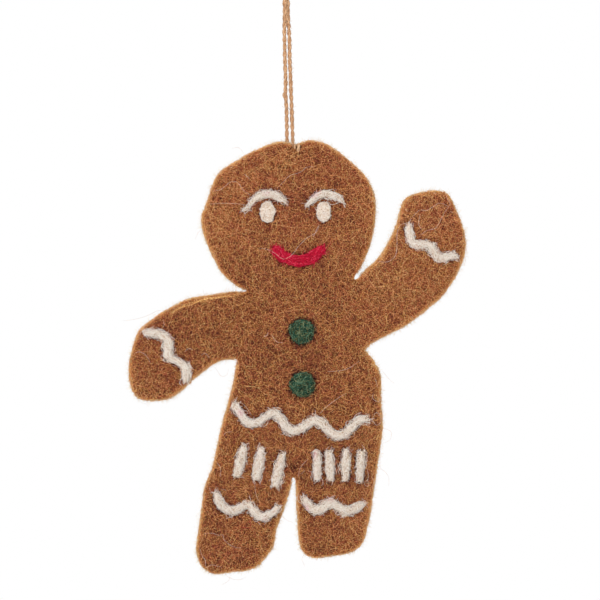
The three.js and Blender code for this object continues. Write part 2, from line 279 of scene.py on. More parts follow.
# The end of every tree: its instances made real, in their material
def finishTree(tree, geometry, material):
    real = addNode(tree, "GeometryNodeRealizeInstances", (geometry,))
    worn = addNode(tree, "GeometryNodeSetMaterial", {"Geometry": real, "Material": material})
    addNode(tree, "NodeGroupOutput", (worn,))
    return tree


# Runs a tree on a piece, and gives what it makes as a new plain piece
def grown(name, source, tree, **values):
    modifier = source.modifiers.new("nodes", "NODES")
    modifier.node_group = tree
    for item in tree.interface.items_tree:
        if item.in_out == "INPUT" and item.name in values:
            value = values[item.name]
            modifier[item.identifier] = value * mm if item.name in lengths else value
    made = settled(source, name)
    forgetNumbers(
        made.data, ["fibre" + end for end in ("Shift", "Bow", "Up", "Height", "Along", "Ring")]
    )
    return made


# The same, on a route of points
def grownAlong(name, points, tree, closed=False, **values):
    edges = [(i, i + 1) for i in range(len(points) - 1)]
    if closed:
        edges.append((len(points) - 1, 0))
    route = meshPiece("route", points, edges)
    made = grown(name, route, tree, **values)
    dropPiece(route)
    return made


# A fibre's place along it times the rest of it: nothing at both ends, a quarter in the middle
def addArch(add, along):
    rest = add("math", (1.0, along), "SUBTRACT")
    return add("math", (along, rest), "MULTIPLY")


# Three-sided hairs round curves that hold a tone and a tint, thinner at both ends.
# Their map for the bake goes by tone and tint, as their colour does.
def addHairs(add, curves, thickness):
    along = add("along")
    curves = add("store", (curves, True, "fibreAlong", along))
    circle = add("GeometryNodeCurvePrimitiveCircle", {"Resolution": 3, "Radius": 1.0})
    profile = add("store", (circle, True, "fibreRing", along))
    root = add("math", (addArch(add, along),), "SQRT")
    taper = add("math", (root, fibreLook["taper"], fibreLook["tip"]), "MULTIPLY_ADD")
    width = add("math", (taper, thickness), "MULTIPLY")
    tube = add(
        "GeometryNodeCurveToMesh",
        {"Curve": curves, "Profile Curve": profile, "Scale": width, "Fill Caps": True},
    )
    tone, tint, ring, run = (add("named", ("fibre" + end,)) for end in ("Tone", "Tint", "Ring", "Along"))
    baseU, baseV = (add("math", (value, 0.9, 0.04), "MULTIPLY_ADD") for value in (tone, tint))
    mapU = add("math", (ring, 0.01, baseU), "MULTIPLY_ADD")
    mapV = add("math", (run, 0.02, baseV), "MULTIPLY_ADD")
    layout = add("xyz", (mapU, mapV))
    laid = add(
        "store", {"Geometry": tube, "Name": "OFBake", "Value": layout},
        data_type="FLOAT2", domain="CORNER",
    )
    return add("GeometryNodeSetShadeSmooth", (laid,))


# Noise that moves a fibre's points, each fibre by its own stretch of it
def addWander(add, size, reach):
    shift = add("named", ("fibreShift",), data_type="FLOAT_VECTOR")
    moved = add("vectors", (add("place"), shift), "ADD")
    grain = add("math", (1.0, size), "DIVIDE")
    field = add("noise", {"Vector": moved, "Scale": grain, "Detail": 1.0})
    centred = add("vectors", (field.outputs[1], (0.5, 0.5, 0.5)), "SUBTRACT")
    amount = add("math", (reach, 3.0), "MULTIPLY")
    return add("vectors", {0: centred, "Scale": amount}, "SCALE")


# Random numbers from 0 to 1 for each point, as many as asked for
def addChances(add, seed, count):
    rolled = []
    while len(rolled) < count:
        own = add("math", (seed, fibreLook["seedStep"] * len(rolled)), "ADD")
        roll = add(
            "FunctionNodeRandomValue", {0: (0, 0, 0), 1: (1, 1, 1), "Seed": own},
            data_type="FLOAT_VECTOR",
        )
        rolled += add("ShaderNodeSeparateXYZ", (roll,)).outputs[:]
    return rolled


# Curled fibres scattered evenly over a piece. Laid ones lie at their own height over its surface:
# they bend round it, or drape over it and the ground beside it. The others stand out from their
# roots. Those on a piece with a grain follow it.
def makeCurlTree():
    tree, given, add = newTree(
        "woolCurls", String="Cover", Bool="Drape", Object="Core Ground", Int="Joints Seed",
        Material="Material",
        Float="Density Shortest Longest Thickness Wander WanderSize Bow Lowest Highest LeastTilt"
        " MostTilt Spread Root Laid Darkest Lightest Patchiness Mixing",
    )
    host = given["Geometry"]
    cover = add("named", (given["Cover"],))
    # Twice the density is scattered, and fibres too near to another are taken out again
    scattered = add("math", (given["Density"], 2.0), "MULTIPLY")
    root = add("math", (scattered,), "SQRT")
    apart = add("math", (fibreLook["spacing"], root), "DIVIDE")
    spread = add(
        "GeometryNodeDistributePointsOnFaces",
        {"Mesh": host, "Distance Min": apart, "Density Max": scattered, "Density Factor": cover,
         "Seed": given["Seed"]},
        distribute_method="POISSON",
    )
    normal = spread.outputs["Normal"]
    points = spread.outputs["Points"]
    chance = addChances(add, given["Seed"], 9)
    own, strand, height, bend, turn, rise, length = (
        add("range", {0: chance[index], 3: low, 4: high})
        for index, low, high in (
            (0, given["Darkest"], given["Lightest"]), (1, -1.0, 1.0),
            (2, given["Lowest"], given["Highest"]), (3, -1.0, 1.0), (6, -1.0, 1.0),
            (7, given["LeastTilt"], given["MostTilt"]), (8, given["Shortest"], given["Longest"]),
        )
    )

    # Each fibre's tone and tint
    patch = add("noise", {"Vector": add("place"), "Scale": 1 / fibreLook["patch"], "Detail": 1.5})
    middle = add("math", (patch, 0.5), "SUBTRACT")
    uneven = add("math", (middle, given["Patchiness"], own), "MULTIPLY_ADD")
    tone = add("math", (uneven, add("named", ("toneLift",))), "ADD")
    blush = add("named", ("tintLift",))
    tint = add("math", (strand, given["Mixing"], blush), "MULTIPLY_ADD", use_clamp=True)
    bow = add("math", (bend, given["Bow"]), "MULTIPLY")
    shift = add("xyz", (chance[4], chance[5], chance[0]))
    for name, value, kind in (
        ("fibreTone", tone, "FLOAT"), ("fibreTint", tint, "FLOAT"), ("fibreHeight", height, "FLOAT"),
        ("fibreBow", bow, "FLOAT"), ("fibreShift", shift, "FLOAT_VECTOR"),
        ("fibreUp", normal, "FLOAT_VECTOR"),
    ):
        points = add("store", {"Geometry": points, "Name": name, "Value": value}, data_type=kind)

    # A straight fibre at each point, turned and leaned
    back = add("math", (given["Root"], -1.0), "MULTIPLY")
    forth = add("math", (1.0, given["Root"]), "SUBTRACT")
    start, end = (add("xyz", (x,)) for x in (back, forth))
    line = add("GeometryNodeCurvePrimitiveLine", {"Start": start, "End": end})
    jointed = add("GeometryNodeResampleCurve", {"Curve": line, "Count": given["Joints"]})
    grain = add("named", ("grain",), data_type="FLOAT_VECTOR")
    way = add("FunctionNodeAxesToRotation", (normal, grain), primary_axis="Z", secondary_axis="X")
    angle = add("math", (turn, given["Spread"]), "MULTIPLY")
    lean = add("math", (rise, -1.0), "MULTIPLY")
    for axis, by in (((0, 0, 1), angle), ((0, 1, 0), lean)):
        turned = add("FunctionNodeAxisAngleToRotation", {"Axis": axis, "Angle": by})
        way = add("FunctionNodeRotateRotation", (way, turned), rotation_space="LOCAL")
    placed = add(
        "GeometryNodeInstanceOnPoints",
        {"Points": points, "Instance": jointed, "Rotation": way, "Scale": length.outputs[0]},
    )
    curves = add("GeometryNodeRealizeInstances", (placed,))

    # Curls: a bow to one side and a wander, free from the root on
    up = add("named", ("fibreUp",), data_type="FLOAT_VECTOR")
    wander = addWander(add, given["WanderSize"], given["Wander"])
    side = add("vectors", (up, add("GeometryNodeInputTangent")), "CROSS_PRODUCT")
    along = add("along")
    reach = add("math", (addArch(add, along), add("named", ("fibreBow",))), "MULTIPLY")
    reach = add("math", (reach, 4.0), "MULTIPLY")
    bowed = add("vectors", {0: side, "Scale": reach}, "SCALE")
    fromRoot = add("math", (along, given["Root"]), "SUBTRACT")
    away = add("math", (fromRoot,), "ABSOLUTE")
    free = add("math", (away, 3.0), "MULTIPLY", use_clamp=True)
    loose = add("vectors", {0: wander, "Scale": free}, "SCALE")
    offset = add("vectors", (loose, bowed), "ADD")
    curled = add("move", {"Geometry": curves, "Offset": offset})

    # Each fibre goes over and under the others; its tone is raised where it is over them as painted light,
    # and lowered where it is under them as painted shade
    here = add("place")
    shift = add("named", ("fibreShift",), data_type="FLOAT_VECTOR")
    own = add("vectors", (here, shift), "ADD")
    weave = add("noise", {"Vector": own, "Scale": 1 / fibreLook["weave"], "Detail": 0.0})
    under, over, dark = fibreLook["under"], fibreLook["over"], fibreLook["shade"]
    wave = add("range", {0: weave, 1: 0.25, 2: 0.75, 3: under, 4: over})
    height = add("math", (add("named", ("fibreHeight",)), wave), "MULTIPLY")
    shade = add("range", {0: wave, 1: under, 2: over, 3: -dark, 4: dark})
    toned = add("math", (add("named", ("fibreTone",)), shade), "ADD", use_clamp=True)
    shaded = add("store", (curled, True, "fibreTone", toned))

    # Bent round the surface, or draped from the front
    nearest = add("GeometryNodeProximity", (host,), target_element="FACES")
    skin = add("GeometryNodeInputNormal")
    skinUp = add(
        "GeometryNodeSampleNearestSurface", {"Mesh": host, "Value": skin}, data_type="FLOAT_VECTOR"
    )
    raised = add("vectors", {0: skinUp, "Scale": height}, "SCALE")
    bent = add("vectors", (nearest, raised), "ADD")
    land = add("GeometryNodeJoinGeometry")
    for name in ("Core", "Ground"):
        found = add("GeometryNodeObjectInfo", {"Object": given[name]})
        tree.links.new(found.outputs["Geometry"], land.inputs[0])
    before = add("vectors", (here, (0, -fibreLook["drop"], 0)), "ADD")
    drop = add(
        "GeometryNodeRaycast",
        {"Target Geometry": land, "Source Position": before, "Ray Direction": (0, 1, 0),
         "Ray Length": 2 * fibreLook["drop"]},
    )
    lift = add("vectors", {0: (0, -1, 0), "Scale": height}, "SCALE")
    landed = add("vectors", (drop.outputs["Hit Position"], lift), "ADD")
    draped = add("GeometryNodeSwitch", (drop.outputs["Is Hit"], here, landed), input_type="VECTOR")
    laid = add("GeometryNodeSwitch", (given["Drape"], bent, draped), input_type="VECTOR")
    held = add("ShaderNodeMix", {0: given["Laid"], 4: here, 5: laid}, data_type="VECTOR")
    lying = add("move", {"Geometry": shaded, "Position": held.outputs[1]})
    return finishTree(tree, addHairs(add, lying, given["Thickness"]), given["Material"])


# Twine: two plies that wind round a route, each an unbroken tube
def makeTwineTree():
    tree, given, add = newTree(
        "laidTwine", Float="PlyRadius PlyOffset Lay Step SlubSize Tone", Int="Sides", Material="Material"
    )
    route = add("GeometryNodeMeshToCurve", (given["Geometry"],))
    route = add("GeometryNodeResampleCurve", {"Curve": route, "Length": given["Step"]}, mode="LENGTH")
    run = add("along").outputs["Length"]
    whole = add("GeometryNodeSplineLength")
    # Whole turns, so that a closed route meets itself
    laps = add("math", (whole, given["Lay"]), "DIVIDE")
    laps = add("math", (laps,), "ROUND")
    share = add("math", (run, whole), "DIVIDE")
    angle = add("math", (share, laps), "MULTIPLY")
    angle = add("math", (angle, -math.tau), "MULTIPLY")
    normal = add("GeometryNodeInputNormal")
    beside = add("vectors", (add("GeometryNodeInputTangent"), normal), "CROSS_PRODUCT")
    circle = add("GeometryNodeCurvePrimitiveCircle", {"Resolution": given["Sides"], "Radius": 1.0})
    place = add("place")
    profile = add(
        "store", {"Geometry": circle, "Name": "plyRing", "Value": place}, data_type="FLOAT_VECTOR"
    )
    grain = add("math", (1.0, given["SlubSize"]), "DIVIDE")
    slub = add("noise", {"Vector": place, "Scale": grain, "Detail": 1.0})
    swell = add("math", (slub, 0.7, 0.65), "MULTIPLY_ADD")
    radius = add("math", (swell, given["PlyRadius"]), "MULTIPLY")
    bothPlies = add("GeometryNodeJoinGeometry")
    for ply in range(2):
        turn = add("math", (angle, ply * math.pi), "ADD")
        onNormal, onSide = (
            add("vectors", {0: way, "Scale": add("math", (turn,), part)}, "SCALE")
            for way, part in ((normal, "COSINE"), (beside, "SINE"))
        )
        away = add("vectors", (onNormal, onSide), "ADD")
        offset = add("vectors", {0: away, "Scale": given["PlyOffset"]}, "SCALE")
        wound = add("move", {"Geometry": route, "Offset": offset})
        begun = add("math", (run, twine["plyShift"] * ply), "ADD")
        wound = add("store", (wound, True, "plyAlong", begun))
        tube = add(
            "GeometryNodeCurveToMesh",
            {"Curve": wound, "Profile Curve": profile, "Scale": radius, "Fill Caps": True},
        )
        tree.links.new(tube.outputs[0], bothPlies.inputs[0])
    toned = add("store", (bothPlies, True, "fibreTone", given["Tone"]))
    return finishTree(tree, add("GeometryNodeSetShadeSmooth", (toned,)), given["Material"])


# Single long hairs along given routes
def makeHairTree():
    tree, given, add = newTree("singleHairs", Float="Thickness Tone Tint", Material="Material")
    curve = add("GeometryNodeMeshToCurve", (given["Geometry"],))
    for name in ("Tone", "Tint"):
        curve = add("store", (curve, True, "fibre" + name, given[name]))
    return finishTree(tree, addHairs(add, curve, given["Thickness"]), given["Material"])


# The twine: two strands from the head to the knot, the knot, and the open loop above it

twine = {
    "diameter": 1.0 * mm,
    "step": 0.4 * mm,  # along a route
    "hairAcross": 0.11 * mm,  # drawn coarser than real bast, so that it shows
    "hairAlong": 1.8 * mm,
    "plyShift": 7 * mm,  # between the patterns of the two plies
    "bump": 0.05 * mm,
    "bastProud": -2.3 * mm,
}
twinePlies = {
    "PlyRadius": 0.39,
    "PlyOffset": 0.2,
    "Lay": -4.2,  # below zero for a twist that falls to the right, as in the picture
    "Sides": 9,
    "Step": 0.22,
    "SlubSize": 2.6,
    "Tone": 0.12,
}
twineHair = dict(
    Cover="cover", Density=1.4e6, Shortest=0.5, Longest=1.4, Thickness=0.07, Wander=0.12, WanderSize=1.2,
    Bow=0.15, Highest=0.03, LeastTilt=0.02, MostTilt=0.25, Spread=math.pi, Root=0.1, Darkest=0.1,
    Lightest=0.7, Joints=4,
)
curlTree = makeCurlTree()
twineTree = makeTwineTree()
hairTree = makeHairTree()

# In millimetres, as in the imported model, but with the ends at the knot run on into it
leftStrandRoute = [
    (-0.4, -0.3, -17.9), (-0.456, -0.43, -21.732), (-0.468, -0.39, -24.313), (-0.521, -0.337, -26.895),
    (-0.558, -0.257, -29.476), (-0.531, -0.195, -32.488), (-0.477, -0.191, -35.5),
    (-0.402, -0.199, -38.512), (-0.305, -0.199, -41.524), (-0.203, -0.195, -44.105),
    (-0.252, -0.142, -47.117), (-0.11, -0.089, -50.129), (0.047, -0.075, -53.141),
    (0.077, -0.066, -56.152), (0.148, -0.035, -59.164), (0.185, 0.0, -62.176), (0.22, -0.2, -63.9),
]
rightStrandRoute = [
    (0.4, 0.3, -17.9), (0.456, 0.43, -21.747), (0.506, 0.39, -24.345), (0.597, 0.337, -26.942),
    (0.736, 0.257, -29.54), (0.891, 0.195, -32.57), (0.952, 0.191, -35.6), (0.974, 0.199, -38.63),
    (1.111, 0.199, -41.661), (1.25, 0.195, -44.258), (1.335, 0.142, -47.288), (1.48, 0.089, -50.319),
    (1.568, 0.075, -53.349), (1.683, 0.066, -56.379), (1.803, 0.035, -59.41), (1.84, -0.7, -61.5),
    (1.88, -1.9, -62.6), (1.93, -2.3, -63.2),
]
loopRoute = [
    (-0.55, 0, -16.0), (-0.774, 0, -13.008), (-1.952, 0, -10.245), (-3.285, 0, -6.868),
    (-3.75, 0, -4.105), (-3.068, 0, -1.649), (-1.704, 0, -0.037), (0, 0, 0.5), (1.704, 0, -0.037),
    (3.068, 0, -1.649), (3.75, 0, -4.105), (3.285, 0, -6.868), (1.952, 0, -10.245), (0.774, 0, -13.008),
    (0.55, 0, -16.0),
]
knot = {
    "middle": Vector((0, 0, -17 * mm)),
    "coil": 0.9 * mm,
    "lift": 0.6 * mm,
    "steps": 90,
    "plies": {"PlyRadius": 0.44, "PlyOffset": 0.24},
}


def newMaterial(name):
    material = bpy.data.materials.new(name)
    material.use_nodes = True
    return material, partial(addNode, material.node_tree)


def finishMaterial(material, colour, roughness, specular, bump=None):
    tree = material.node_tree
    shader = tree.nodes["Principled BSDF"]
    tree.links.new(colour, shader.inputs["Base Color"])
    if bump:
        tree.links.new(bump.outputs["Normal"], shader.inputs["Normal"])
    shader.inputs["Roughness"].default_value = roughness
    shader.inputs["Specular IOR Level"].default_value = specular
    return material


# A ramp of colours over a shade
def addRamp(add, shade, stops):
    ramp = add("ShaderNodeValToRGB", (shade,))
    elements = ramp.color_ramp.elements
    while len(elements) < len(stops):
        elements.new(0.5)
    for element, (place, code) in zip(elements, stops):
        element.position = place
        element.color = hexColour(code)
    return ramp.outputs["Color"]


# Spun jute bast: straw-coloured hairs that run along each ply, darker down between the plies
def juteMaterial():
    material, add = newMaterial("spunJuteTwine")
    ring = add("field", attribute_name="plyRing").outputs["Vector"]
    along = add("field", attribute_name="plyAlong").outputs["Fac"]
    tone = add("field", attribute_name="fibreTone").outputs["Fac"]
    rounds = twinePlies["PlyRadius"] * mm / twine["hairAcross"]
    around = add("vectors", {0: ring, "Scale": rounds}, "SCALE")
    run = add("math", (along, twine["hairAlong"]), "DIVIDE")
    place = add("vectors", (around, add("xyz", {"Z": run})), "ADD")
    hair = add("noise", {"Vector": place, "Scale": 1.0, "Detail": 3.0})
    mixed = add("math", (hair, 0.85, tone), "MULTIPLY_ADD")
    colour = addRamp(add, mixed, [(0.36, "#6a4530"), (0.5, "#a67955"), (0.62, "#c89d76"), (0.85, "#e8ccab")])
    bump = add("ShaderNodeBump", {"Strength": 0.8, "Distance": twine["bump"], "Height": hair})
    return finishMaterial(material, colour, 0.75, 0.25, bump)


jute = juteMaterial()


# A piece of twine and the short hairs on it. Plies are what differs from the twine's own sizes.
def layTwine(name, points, seed, closed=False, plies={}):
    body = grownAlong(name, points, twineTree, closed, **{**twinePlies, **plies}, Material=jute)
    keepNumbers(body.data, "cover", np.ones(len(body.data.vertices)))
    hair = grown(name + "Hair", body, curlTree, **twineHair, Seed=seed, Material=jute)
    forgetNumbers(body.data, ["cover"])
    print(name, len(body.data.polygons), "faces and", len(hair.data.polygons), "of hair")
    return joined(name, [body, hair])


# Single hairs along points of the picture
def hairsAlong(routes, proud, step, material, **look):
    hairs = []
    for pixels in routes:
        points = smoothRoute([onPhoto(x, y, proud) for x, y in pixels], step)
        hairs.append(grownAlong("hair", points, hairTree, **look, Material=material))
    return hairs


# Bast that stands off the strands: its points in the picture, thickness in millimetres and tone
strayBast = [
    ([(285.2, 89.5), (284.0, 92.5), (283.8, 95.5), (284.9, 98.8)], 0.5, 0.18),
    ([(284.0, 91.0), (282.8, 93.0), (282.7, 95.0), (283.6, 97.5)], 0.2, 0.15),
    ([(287.8, 106.4), (289.0, 107.8), (290.6, 109.8)], 0.2, 0.0),
    ([(289.4, 85.8), (289.8, 88.0)], 0.25, -0.05), ([(284.5, 27.0), (285.4, 28.8)], 0.22, 0.0),
    ([(288.6, 22.6), (290.9, 25.6)], 0.3, 0.05),
    ([(286.8, 28.5), (287.6, 30.5), (286.9, 33.5)], 0.14, 0.1),
    ([(283.3, -5.0), (283.8, 3.0), (285.4, 11.0), (287.8, 19.0), (289.6, 24.0)], 0.6, 0.26),
    ([(286.2, -5.0), (286.6, 4.0), (286.7, 14.0), (286.3, 24.0)], 0.7, 0.22),
]


def makeBast():
    hairs = []
    for pixels, thickness, tone in strayBast:
        hairs += hairsAlong(
            [pixels], twine["bastProud"], twine["step"], jute,
            Thickness=thickness, Tone=tone, Tint=0.0,
        )
    return hairs


def makeStrand(name, node, rows, seed, extra=()):
    points = smoothRoute([Vector(p) * mm for p in reversed(rows)], twine["step"])
    strand = joined(name, [layTwine(name, points, seed), *extra])
    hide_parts(node)
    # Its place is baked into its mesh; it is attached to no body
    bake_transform(strand)


def makeLoop():
    points = smoothRoute([Vector(p) * mm for p in loopRoute], twine["step"])
    loop = layTwine("hangingLoopTwine", points, 31)
    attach(loop, "loop")
    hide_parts("hanging_loop")


# The overhand knot: its three turns pass over and under each other
def makeKnot():
    points = []
    for i in range(knot["steps"]):
        turn = math.tau * i / knot["steps"]
        around = Vector((
            (math.sin(turn) + 2 * math.sin(2 * turn)) * knot["coil"] / 2,
            -math.sin(3 * turn) * knot["lift"],
            (math.cos(turn) - 2 * math.cos(2 * turn)) * knot["coil"] / 2,
        ))
        points.append(knot["middle"] + around)
    piece = layTwine("knotTwine", points, 37, closed=True, plies=knot["plies"])
    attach(piece, "knot")
    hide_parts("loop_knot")


makeStrand("leftStrandTwine", "left_strand", leftStrandRoute, 11, makeBast())
makeStrand("rightStrandTwine", "right_strand", rightStrandRoute, 17)
makeLoop()
makeKnot()
print("twine laid")


# Wool


# Needle-felted sheep's wool: matt and soft. Each fibre has its own tone, from the darkest of its
# wool's colours to the lightest, with painted glints along it, lighter and darker, and a tint where another
# wool was carded in.
# Stops are a place, the wool's own colour and the tinted one.
def woolMaterial(name, glint, stops):
    material, add = newMaterial(name)
    tone, tint = (add("field", attribute_name=kind).outputs["Fac"] for kind in ("fibreTone", "fibreTint"))
    place = add("ShaderNodeTexCoord").outputs["Object"]
    glints = add("noise", {"Vector": place, "Scale": 1 / glintSize, "Detail": 0.0})
    spread = add("range", {0: glints, 1: 0.3, 2: 0.7, 3: -glint, 4: glint})
    shade = add("math", (tone, spread), "ADD")
    return finishMaterial(material, addTinted(add, shade, tint, stops), 0.9, 0.1)


def addTinted(add, shade, tint, stops):
    plain, tinted = (addRamp(add, shade, [(stop[0], stop[kind]) for stop in stops]) for kind in (1, 2))
    return add("ShaderNodeMix", {0: tint, 6: plain, 7: tinted}, data_type="RGBA").outputs[2]


glintSize = 0.25 * mm  # drawn coarser than on real wool, so that they show
brownWool = woolMaterial("gingerBrownWool", 0.34, [
    (0, "#33211a", "#341a1c"), (0.2, "#633d2e", "#693430"), (0.45, "#a1653f", "#ab5641"),
    (0.65, "#c37f47", "#c66b49"), (0.85, "#e4a65a", "#e09158"), (1, "#f4cb86", "#edb57c"),
])
# Loose hair on the cut edge, paler and less red than the felt
edgeWool = woolMaterial("paleGoldenWool", 0.2, [
    (0, "#7a5c38", "#7a4f38"), (0.4, "#a98454", "#ad7a54"), (0.7, "#cdae7c", "#d0a27c"),
    (1, "#e9d6ae", "#e9ccae"),
])
whiteWool = woolMaterial("warmWhiteRoving", 0.2, [
    (0, "#6b4420", "#7d3a40"), (0.2, "#a98050", "#b45c68"), (0.45, "#dfc8ae", "#d8909a"),
    (0.7, "#f4e8dc", "#ebbfc4"), (1, "#fcf7ee", "#f6dedf"),
])
redWool = woolMaterial("crimsonWool", 0.15, [
    (0, "#850d23", "#5c2a1b"), (0.35, "#c51b3a", "#9a3a2c"), (0.7, "#e4294d", "#b85a48"),
    (1, "#ea6176", "#d08b6a"),
])
greenWool = woolMaterial("bottleGreenWool", 0.2, [
    (0, "#19201b", "#2a140a"), (0.3, "#28453a", "#57401f"), (0.6, "#3a6753", "#7c6a35"),
    (0.85, "#558569", "#a08a4c"), (1, "#86aa86", "#c8b27c"),
])


# The felt figure

strips = {
    "left_brow": "leftBrowRoving", "right_brow": "rightBrowRoving",
    "left_cuff_icing": "leftCuffRoving", "right_cuff_icing": "rightCuffRoving",
    "waist_icing": "waistRoving", "left_hem_icing": "leftHemRoving", "right_hem_icing": "rightHemRoving",
    **{f"left_leg_stripe_{i}": f"leftLegRoving{i}" for i in (1, 2, 3)},
    **{f"right_leg_stripe_{i}": f"rightLegRoving{i}" for i in (1, 2, 3, 4)},
}
pads = {
    "left_eye": "leftEyePad", "right_eye": "rightEyePad",
    "upper_button": "upperButtonPad", "lower_button": "lowerButtonPad",
}

felt = {
    "grain": 0.5 * mm,  # of the mesh
    "lumpSize": 12 * mm,
    "lump": 0.2 * mm,
    "dimpleSize": 1.6 * mm,
    "dimple": 0.06 * mm,
    "pressReach": 0.6 * mm,  # how far the needle's dent runs out from a felted piece
    "pressDepth": 0.35 * mm,
    "dentShadePatch": 0.8 * mm,  # between darker and lighter parts of the dent's painted shade
    "dentShade": 0.2,
    "dentShadeUneven": 0.45,
    "buttonShade": 0.35,
    "stitchHole": 0.5,  # the least depth in millimetres of a mark that no fibre covers
    "coverGap": 0.15 * mm,  # clear of the felted pieces
    "stripEdge": 1.3 * mm,  # from a strip's middle line
    "edgeReach": 0.4 * mm,
    "rimHighlight": 0.8,  # painted highlight on the cut edge, where the surface turns from the front, uneven
    "rimHighlightPatch": 0.55 * mm,
    "rimHighlightUneven": 0.9,
    "backLift": 0.12,  # fewer fibres cover the back, so the felt under them is lighter
    "blush": 12 * mm,  # between redder and browner parts
    "red": 0.42,
    "redUneven": 0.25,
    "redPatch": 0.5,
    "swirl": 0.9 * mm,  # between the tangles of fibre in the felt's own surface
    "hair": 0.3 * mm,
    "bump": 0.2 * mm,
}
# A strip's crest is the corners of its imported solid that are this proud, and the highest within
# this reach
crest = {"apart": 0.9 * mm, "proud": 0.05 * mm, "level": 1e-6}

# Dents and marks: a place in the picture, its reach in millimetres, its depth in millimetres,
# and how much darker or lighter it is, as painted shade in the dent
feltMarks = [
    (292.4, 147.3, 0.3, 0.7, -0.8), (300.7, 147.3, 0.25, 0.55, -0.5), (296.6, 147.0, 1.5, 0.45, -0.1),
    (295.8, 154.0, 0.7, 0.3, -0.1), (294.5, 466.0, 1.2, 0.4, -0.5),
]
# Where the wool is redder: a place in the picture, its reach in millimetres, and how strong
redPatches = [
    (300, 195, 26, 0.4), (228, 165, 9, 0.8), (245, 215, 7, 0.35), (350, 165, 8, 0.5), (368, 230, 6, 0.5),
    (150, 330, 6, 0.7), (172, 385, 8, 0.4), (440, 215, 9, 0.7), (418, 290, 8, 0.35), (240, 420, 5, 0.4),
    (215, 500, 6, 0.5), (228, 560, 7, 0.4), (345, 540, 7, 0.3),
]
# Where the wool is lighter or darker: a place in the picture, its reach in millimetres, how much
shadePatches = [
    (425, 245, 15, 0.11), (375, 290, 10, 0.05), (240, 178, 8, 0.09), (376, 195, 8, 0.09),
    (364, 520, 7, 0.1), (240, 468, 5, 0.09), (300, 158, 8, 0.03), (300, 350, 8, -0.05),
    (262, 350, 8, -0.04), (195, 328, 10, -0.03), (300, 208, 4, -0.06), (228, 548, 9, -0.03),
    (214, 228, 8, 0.1), (318, 234, 6, 0.06), (470, 285, 6, 0.08), (340, 468, 8, -0.06),
    (265, 468, 7, -0.03), (267, 200.5, 2.0, 0.2), (322, 200.5, 2.0, 0.2), (330, 276, 7, -0.04),
    (234, 276, 7, -0.04), (290, 385, 14, -0.03), (180, 335, 8, -0.03),
]
# Where the outline's notches run in further, and its corners out, than the even mesh lets them:
# a place in the picture, its reach in millimetres, and how far it moves in pixels
deeper = [
    (359, 273, 1.5, -4.5, 6.5), (241.5, 290, 1.3, 4.5, 1.0), (278, 550, 1.5, 1.2, 0.8),
    (262, 568, 1.5, 0.8, 0.8), (446, 193, 1.3, 1.2, -0.8),
]
# Notches of the outline that loose fibres don't bridge: a place in the picture and its reach
notches = [(356, 277, 1.4), (359, 273, 1.4), (244, 291, 1.4), (293.5, 480, 1.2), (237.5, 359, 1.0)]
# The cut edge that shows along the top of the left arm, with a pale line, a painted highlight of the lit
# edge, and a darker one over it:
# how far over it, in pixels, the line's reach in millimetres and how much lighter it is
cutEdge = [(240, 294.5), (232, 295.5), (218, 297.5), (204, 300), (192, 303.5), (180, 308), (170, 314)]
edgeLines = [(0, 0.5, 0.1), (2.5, 0.4, -0.08)]


def nearness(places, x, y, reach):
    spot = onPhoto(x, y)
    away = np.hypot(places[:, 0] - spot.x, places[:, 2] - spot.z)
    return fading(away, reach * mm)


# The distance to the nearest of these felted pieces from each place
def feltedDistance(places, nodes):
    corners, faces = [], []
    for node in nodes:
        mesh = cadNodes[node].data
        first = len(corners)
        corners += [v.co.copy() for v in mesh.vertices]
        faces += [[first + i for i in face.vertices] for face in mesh.polygons]
    tree = BVHTree.FromPolygons(corners, faces)
    return np.array([tree.find_nearest(Vector(p))[3] for p in places.tolist()])


# The middle line of a strip in XZ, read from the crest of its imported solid
def ridgeOf(node):
    corners = np.unique(np.round(cornersOf(cadNodes[node].data).astype(float), 6), axis=0)
    flat = corners[:, [0, 2]]
    proud = frontY - corners[:, 1]
    highest = np.where(spans(flat, flat) < crest["apart"], proud[None], 0).max(1)
    spots = flat[(proud > crest["proud"]) & (proud >= highest - crest["level"])]
    between = spans(spots, spots)
    order = [int(between.argmax() // len(spots))]
    left = set(range(len(spots))) - set(order)
    while left:
        order.append(min(left, key=lambda i: between[order[-1], i]))
        left.remove(order[-1])
    return spots[order]


